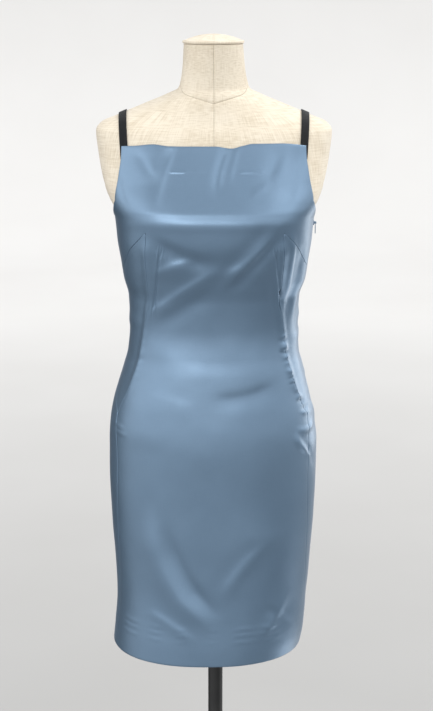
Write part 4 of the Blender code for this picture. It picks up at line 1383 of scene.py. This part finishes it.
def ramp_between(tree, factor, low, high, start, end):
    """A colour ramp from one linear colour to another."""
    ramp = add_node(tree, "ShaderNodeValToRGB")
    ramp.color_ramp.elements[0].position = start
    ramp.color_ramp.elements[1].position = end
    ramp.color_ramp.elements[0].color = (*low, 1.0)
    ramp.color_ramp.elements[1].color = (*high, 1.0)
    tree.links.new(factor, ramp.inputs["Fac"])
    return ramp.outputs["Color"]


def tint(tree, shader, factor, low, high, start, end):
    """Vary the base colour between two linear colours."""
    tree.links.new(ramp_between(tree, factor, low, high, start, end), shader.inputs["Base Color"])


def map_range(tree, value, limits, **values):
    """A Map Range node with its limits set by socket name."""
    node = add_node(tree, "ShaderNodeMapRange", **values)
    for socket, limit in limits.items():
        node.inputs[socket].default_value = limit
    tree.links.new(value, node.inputs["Value"])
    return node.outputs["Result"]


def roughen(tree, shader, factor, low, high):
    """Vary the roughness with a factor from 0 to 1."""
    rough = map_range(tree, factor, {"To Min": low, "To Max": high})
    tree.links.new(rough, shader.inputs["Roughness"])


def blend(tree, first, second, share):
    """Two factors mixed, with a share of the first."""
    return math_node(tree, "ADD", math_node(tree, "MULTIPLY", first, share),
                     math_node(tree, "MULTIPLY", second, 1.0 - share))


def add_bump(tree, shader, height, distance, strength):
    """A bump on the shader's normal."""
    bump = add_node(tree, "ShaderNodeBump")
    bump.inputs["Distance"].default_value = distance
    bump.inputs["Strength"].default_value = strength
    tree.links.new(height, bump.inputs["Height"])
    tree.links.new(bump.outputs["Normal"], shader.inputs["Normal"])


def cloud_node(tree, scale, detail):
    """Noise over the object's own coordinates."""
    place = add_node(tree, "ShaderNodeTexCoord")
    cloud = add_node(tree, "ShaderNodeTexNoise")
    cloud.inputs["Scale"].default_value = scale
    cloud.inputs["Detail"].default_value = detail
    tree.links.new(place.outputs["Object"], cloud.inputs["Vector"])
    return cloud.outputs["Fac"]


def thread_node(tree, warp, weft, slub):
    """Place the thread group on a material with its own counts."""
    uv = add_node(tree, "ShaderNodeUVMap", uv_map="cut")
    group = add_node(tree, "ShaderNodeGroup", node_tree=threads)
    tree.links.new(uv.outputs["UV"], group.inputs["Cut"])
    group.inputs["Warp per metre"].default_value = warp
    group.inputs["Weft per metre"].default_value = weft
    group.inputs["Slub per metre"].default_value = slub
    return group


# %% [markdown]
# ## Satin
#
# Satin shines because long floats of yarn lie side by side, so its gloss is soft, broad and stretched
# across the yarns. A Principled shader does that with a middling roughness and some anisotropy that follows
# the UV map. Part of the reflection is metallic, so it takes the yarn's own colour, and a soft coat adds the
# pale glint on the folds. Fine streaks along the warp keep the colour from being flat.

# %% Satin
def make_satin():
    """Blue-grey satin."""
    material, tree, shader = start_material(
        "blue satin", Specular_IOR_Level=0.6, Sheen_Weight=0.10, Sheen_Roughness=0.3, Anisotropic=0.35,
        Metallic=0.60, Coat_Weight=0.30, Coat_Roughness=0.34)
    shader.inputs["Sheen Tint"].default_value = (0.72, 0.84, 1.0, 1.0)
    group = thread_node(tree, 3600.0, 1800.0, 900.0)
    tangent = add_node(tree, "ShaderNodeTangent", direction_type="UV_MAP", uv_map="cut")
    tree.links.new(tangent.outputs["Tangent"], shader.inputs["Tangent"])
    tone = blend(tree, cloud_node(tree, 7.0, 2.0), group.outputs["Slub"], 0.6)
    tint(tree, shader, tone, (0.128, 0.204, 0.296), (0.150, 0.234, 0.334), 0.35, 0.65)
    roughen(tree, shader, tone, 0.28, 0.36)
    add_bump(tree, shader, group.outputs["Height"], 0.00006, 0.5)
    return material


satin = make_satin()
for piece in (front, back, side_left, side_right):
    piece.data.materials.append(satin)
print("satin on 4 panels")

# %% [markdown]
# ## Linen, elastic and tape
#
# The form's linen is a plain weave of uneven yarns: in the photo it shows as short pale and brown streaks,
# both up and across. The elastic is nearly black, matt, and ribbed along its length.

# %% Linen
def make_linen():
    """Natural linen with slubs."""
    material, tree, shader = start_material("natural linen", Specular_IOR_Level=0.25, Sheen_Weight=0.15,
                                            Sheen_Roughness=0.6)
    group = thread_node(tree, 900.0, 820.0, 640.0)
    tone = blend(tree, group.outputs["Slub"], cloud_node(tree, 22.0, 4.0), 0.75)
    tint(tree, shader, tone, (0.55, 0.462, 0.338), (0.74, 0.662, 0.540), 0.36, 0.56)
    roughen(tree, shader, group.outputs["Slub"], 0.80, 0.95)
    add_bump(tree, shader, group.outputs["Height"], 0.00025, 0.7)
    return material


linen = make_linen()
for piece in (torso, cap):
    piece.data.materials.append(linen)
print("linen on the torso and its cap")


# %% Seam thread
def make_seam_thread():
    """Brown thread of the form's seams."""
    material, tree, shader = start_material("seam thread", Specular_IOR_Level=0.2)
    twist = cloud_node(tree, 600.0, 2.0)
    tint(tree, shader, twist, (0.27, 0.215, 0.150), (0.42, 0.350, 0.260), 0.4, 0.6)
    roughen(tree, shader, twist, 0.75, 0.95)
    add_bump(tree, shader, twist, 0.0001, 0.5)
    return material


torso_seams.data.materials.append(make_seam_thread())
print("thread in the form's seams")


# %% Elastic and tape
def make_woven(name, counts, low, high, rough, bump, **sockets):
    """A plain weave whose colour and roughness follow its slubs."""
    material, tree, shader = start_material(name, **sockets)
    group = thread_node(tree, *counts)
    tint(tree, shader, group.outputs["Slub"], low, high, 0.35, 0.65)
    roughen(tree, shader, group.outputs["Slub"], *rough)
    add_bump(tree, shader, group.outputs["Height"], *bump)
    return material


elastic = make_woven(
    "black elastic", (900.0, 1500.0, 300.0), (0.004, 0.0043, 0.0048), (0.009, 0.0095, 0.0105),
    (0.62, 0.82), (0.0003, 0.8), Specular_IOR_Level=0.25, Sheen_Weight=0.04)
tape_weave = make_woven(
    "zip tape weave", (1500.0, 1500.0, 500.0), (0.10, 0.17, 0.26), (0.14, 0.22, 0.33),
    (0.75, 0.9), (0.0002, 0.6), Specular_IOR_Level=0.3)
for piece in (strap_left, strap_right):
    piece.data.materials.append(elastic)
tape.data.materials.append(tape_weave)
print("elastic and tape done")

# %% [markdown]
# ## Paint and enamel
#
# The pole and base have black powder coat, whose fine orange peel breaks up the gloss. The slider and tab
# are enamelled in the dress's colour, a little worn to bare metal where fingers and edges rub.

# %% Paint and enamel
def make_paint():
    """Black powder coat."""
    material, tree, shader = start_material("black powder coat", Specular_IOR_Level=0.5)
    dust = cloud_node(tree, 18.0, 5.0)
    tint(tree, shader, dust, (0.008, 0.008, 0.008), (0.019, 0.019, 0.018), 0.4, 0.75)
    roughen(tree, shader, dust, 0.34, 0.52)
    add_bump(tree, shader, cloud_node(tree, 900.0, 2.0), 0.0001, 0.35)
    return material


def make_enamel():
    """Blue enamel, rubbed through in a few spots."""
    material, tree, shader = start_material("blue enamel", Specular_IOR_Level=0.5)
    rub = cloud_node(tree, 700.0, 4.0)
    bare = ramp_between(tree, rub, (0.0, 0.0, 0.0), (1.0, 1.0, 1.0), 0.66, 0.72)
    tree.links.new(bare, shader.inputs["Metallic"])
    tint(tree, shader, rub, (0.150, 0.236, 0.330), (0.45, 0.46, 0.47), 0.66, 0.74)
    roughen(tree, shader, rub, 0.25, 0.42)
    add_bump(tree, shader, rub, 0.00004, 0.4)
    return material


paint, enamel = make_paint(), make_enamel()
for piece in (pole, base):
    piece.data.materials.append(paint)
for piece in (slider, tab, teeth):
    piece.data.materials.append(enamel)
print("paint and enamel done")

# %% [markdown]
# ## What each piece stands for
#
# Each finished piece takes the place of one plain solid and moves with its body. The zip's coil and the
# form's
# seam threads are extra: they move with the rest, but take the place of nothing.

# %% Pieces and bodies
REPLACED = (
    (front, "front", "root", "blue_satin"),
    (back, "back", "root", "blue_satin"),
    (side_left, "side_panel_left", "root", "blue_satin"),
    (side_right, "side_panel_right", "root", "blue_satin"),
    (strap_left, "strap_left", "root", "black_elastic"),
    (strap_right, "strap_right", "root", "black_elastic"),
    (tape, "zip_tape", "root", "zip_tape"),
    (slider, "zip_slider", "root", "zip_enamel"),
    (tab, "zip_tab", "pull_tab", "zip_enamel"),
    (torso, "form_torso", "root", "linen"),
    (cap, "form_neck_cap", "root", "linen"),
    (pole, "form_pole", "root", "black_paint"),
    (base, "form_base", "root", "black_paint"),
)
for piece, node, body, slot in REPLACED:
    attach(piece, body)
    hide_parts(node)
EXTRA = ((teeth, "zip_enamel"), (torso_seams, "linen"))
for piece, slot in EXTRA:
    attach(piece, "root")
print("pieces:", len(REPLACED) + len(EXTRA))

# %% [markdown]
# ## The floor
#
# The stage is a wide pale dish: its floor runs far back and its rim curves up, so no edge shows from any
# side. It is seen by the camera and takes shadows, but it is kept out of the bounce light, because a satin
# dress shows every white wall. It shines a little itself, more towards the rim, so that it stays pale
# behind the dress. Colours are shown with the Standard view, because the default one greys the blue of the
# cloth.

# %% Stage
STAGE_FLOOR = 6.5
STAGE_CURVE = 2.0
STAGE_HEIGHT = 5.5
STAGE_GLOW = {"From Min": 0.8, "From Max": 5.0, "To Min": 0.02, "To Max": 0.37}


def make_stage():
    """A round floor whose rim curves up."""
    profile = [(0.0, 0.0), (1.5, 0.0), (STAGE_FLOOR, 0.0)]
    profile += arc_points(STAGE_FLOOR, STAGE_CURVE, STAGE_CURVE, -90.0, 0.0, 16)[1:]
    profile += [(STAGE_FLOOR + STAGE_CURVE, STAGE_HEIGHT)]
    work = spin_profile(profile, 0.0001)
    bmesh.ops.reverse_faces(work, faces=work.faces)
    return finish_piece("studio_floor", work)


def make_stage_paint():
    """Pale matt paint with a faint unevenness, and light of its own that grows towards the rim."""
    material, tree, shader = start_material("pale floor", Specular_IOR_Level=0.1, Roughness=0.9)
    shader.inputs["Emission Color"].default_value = (1.0, 0.985, 0.965, 1.0)
    cloud = cloud_node(tree, 1.2, 3.0)
    tint(tree, shader, cloud, (0.405, 0.397, 0.386), (0.428, 0.421, 0.411), 0.3, 0.7)
    place = add_node(tree, "ShaderNodeTexCoord")
    reach = add_node(tree, "ShaderNodeVectorMath", operation="LENGTH")
    tree.links.new(place.outputs["Object"], reach.inputs[0])
    glow = map_range(tree, reach.outputs["Value"], STAGE_GLOW)
    tree.links.new(glow, shader.inputs["Emission Strength"])
    return material


bpy.context.scene.view_settings.view_transform = "Standard"
stage = make_stage()
stage.data.materials.append(make_stage_paint())
stage.visible_diffuse = False
stage.visible_glossy = False
stage.visible_shadow = False

# %% [markdown]
# ## The room's light
#
# Satin shows the room that it stands in, so the room is drawn as light that changes with direction. It is
# brightest in a broad band about level with the dress, and dims above and below. High up, each side has a
# glow. The corner behind the wearer's right is nearly dark, and the floor at the wearer's left is dimmed. A
# strip of window lies low behind the wearer's left. Three lamps sharpen the folds: a high window, a low one
# close behind the wearer's left hip, and a broad soft light ahead.

# %% Lights
ROOM_LIGHT = 0.62
PALE_LIGHT = (1.0, 0.995, 0.985)
LIGHTS = (
    # name, place, target, width, height, power
    ("window light", (2.0, 0.2, 3.6), (0.0, 0.0, 1.15), 1.2, 1.6, 30.0),
    ("low window light", (0.75, 0.5, 0.84), (0.13, -0.02, 1.06), 0.35, 0.5, 1.1),
    ("front light", (-0.9, -3.2, 1.9), (0.0, 0.0, 1.0), 2.0, 0.8, 22.0),
)


def add_light(name, place, target, width, height, power):
    """A large rectangular light aimed at a point."""
    lamp = bpy.data.lights.new(name, "AREA")
    lamp.shape = "RECTANGLE"
    lamp.size, lamp.size_y = width, height
    lamp.energy = power
    lamp.color = PALE_LIGHT
    holder = bpy.data.objects.new(name, lamp)
    holder.location = place
    aim = Vector(target) - Vector(place)
    holder.rotation_euler = aim.to_track_quat("-Z", "Y").to_euler()
    holder.visible_camera = False
    bpy.context.scene.collection.objects.link(holder)


def make_room_light():
    """A world whose light changes with direction: z is up, x is the wearer's left, -y is ahead."""
    world = bpy.data.worlds.new("pale room")
    bpy.context.scene.world = world
    world.use_nodes = True
    tree = world.node_tree
    direction = add_node(tree, "ShaderNodeTexCoord")
    parts = add_node(tree, "ShaderNodeSeparateXYZ")
    tree.links.new(direction.outputs["Generated"], parts.inputs[0])

    def ramp(axis, low, high, start, end):
        limits = {"From Min": low, "From Max": high, "To Min": start, "To Max": end}
        return map_range(tree, parts.outputs["XYZ".index(axis)], limits, interpolation_type="SMOOTHSTEP")

    def joined(operation, *steps):
        return functools.reduce(lambda before, after: math_node(tree, operation, before, after), steps)

    times, plus = functools.partial(joined, "MULTIPLY"), functools.partial(joined, "ADD")

    def all_but(part):
        return math_node(tree, "SUBTRACT", 1.0, part)

    band = plus(ramp("Z", -0.75, -0.25, 0.62, 1.0), ramp("Z", -0.32, 0.02, 0.0, 1.10),
                ramp("Z", 0.28, 0.66, 0.0, -0.85))
    dark_corner = times(ramp("X", -0.45, 0.0, 0.93, 0.0), ramp("Y", -0.05, 0.4, 0.0, 1.0))
    dark_floor = times(ramp("X", 0.25, 0.7, 0.0, 0.42), ramp("Z", -0.2, -0.02, 1.0, 0.0))
    room = times(band, ramp("X", -0.9, 0.9, 1.22, 0.82), all_but(dark_corner), all_but(dark_floor))
    left_glow = times(ramp("X", 0.0, 0.6, 0.0, 2.2), ramp("Z", 0.15, 0.55, 0.1, 1.0),
                      ramp("Z", -0.05, 0.1, 0.0, 1.0))
    right_glow = times(ramp("X", -0.85, -0.05, 1.3, 0.0), ramp("Z", 0.05, 0.4, 0.0, 1.0))
    window = times(ramp("X", 0.3, 0.75, 0.0, 3.4), ramp("Y", -0.3, 0.15, 0.0, 1.0),
                   ramp("Z", -0.85, -0.6, 0.0, 1.0), ramp("Z", -0.60, -0.44, 1.0, 0.03))
    strength = plus(room, plus(left_glow, right_glow), window)
    sky = tree.nodes["Background"]
    sky.inputs["Color"].default_value = (0.97, 0.985, 1.0, 1.0)
    tree.links.new(times(strength, ROOM_LIGHT), sky.inputs["Strength"])


make_room_light()
for light in LIGHTS:
    add_light(*light)

# %% [markdown]
# ## The camera
#
# The camera stands ahead, a little higher than the form, and looks slightly down. Its place, tilt and lens
# were worked out from the level lines and widths in the photo.

# %% Camera
CAMERA_PLACE = (0.002, -2.4, 1.55)
CAMERA_TILT = 76.5
LENS = 75.34

lens = bpy.data.cameras.new("camera")
lens.lens = LENS
lens.sensor_width = 36.0
camera = bpy.data.objects.new("camera", lens)
camera.location = CAMERA_PLACE
camera.rotation_euler = (math.radians(CAMERA_TILT), 0.0, 0.0)
bpy.context.scene.collection.objects.link(camera)
bpy.context.scene.camera = camera
print("camera at", CAMERA_PLACE, "with a lens of %.2f mm" % LENS)
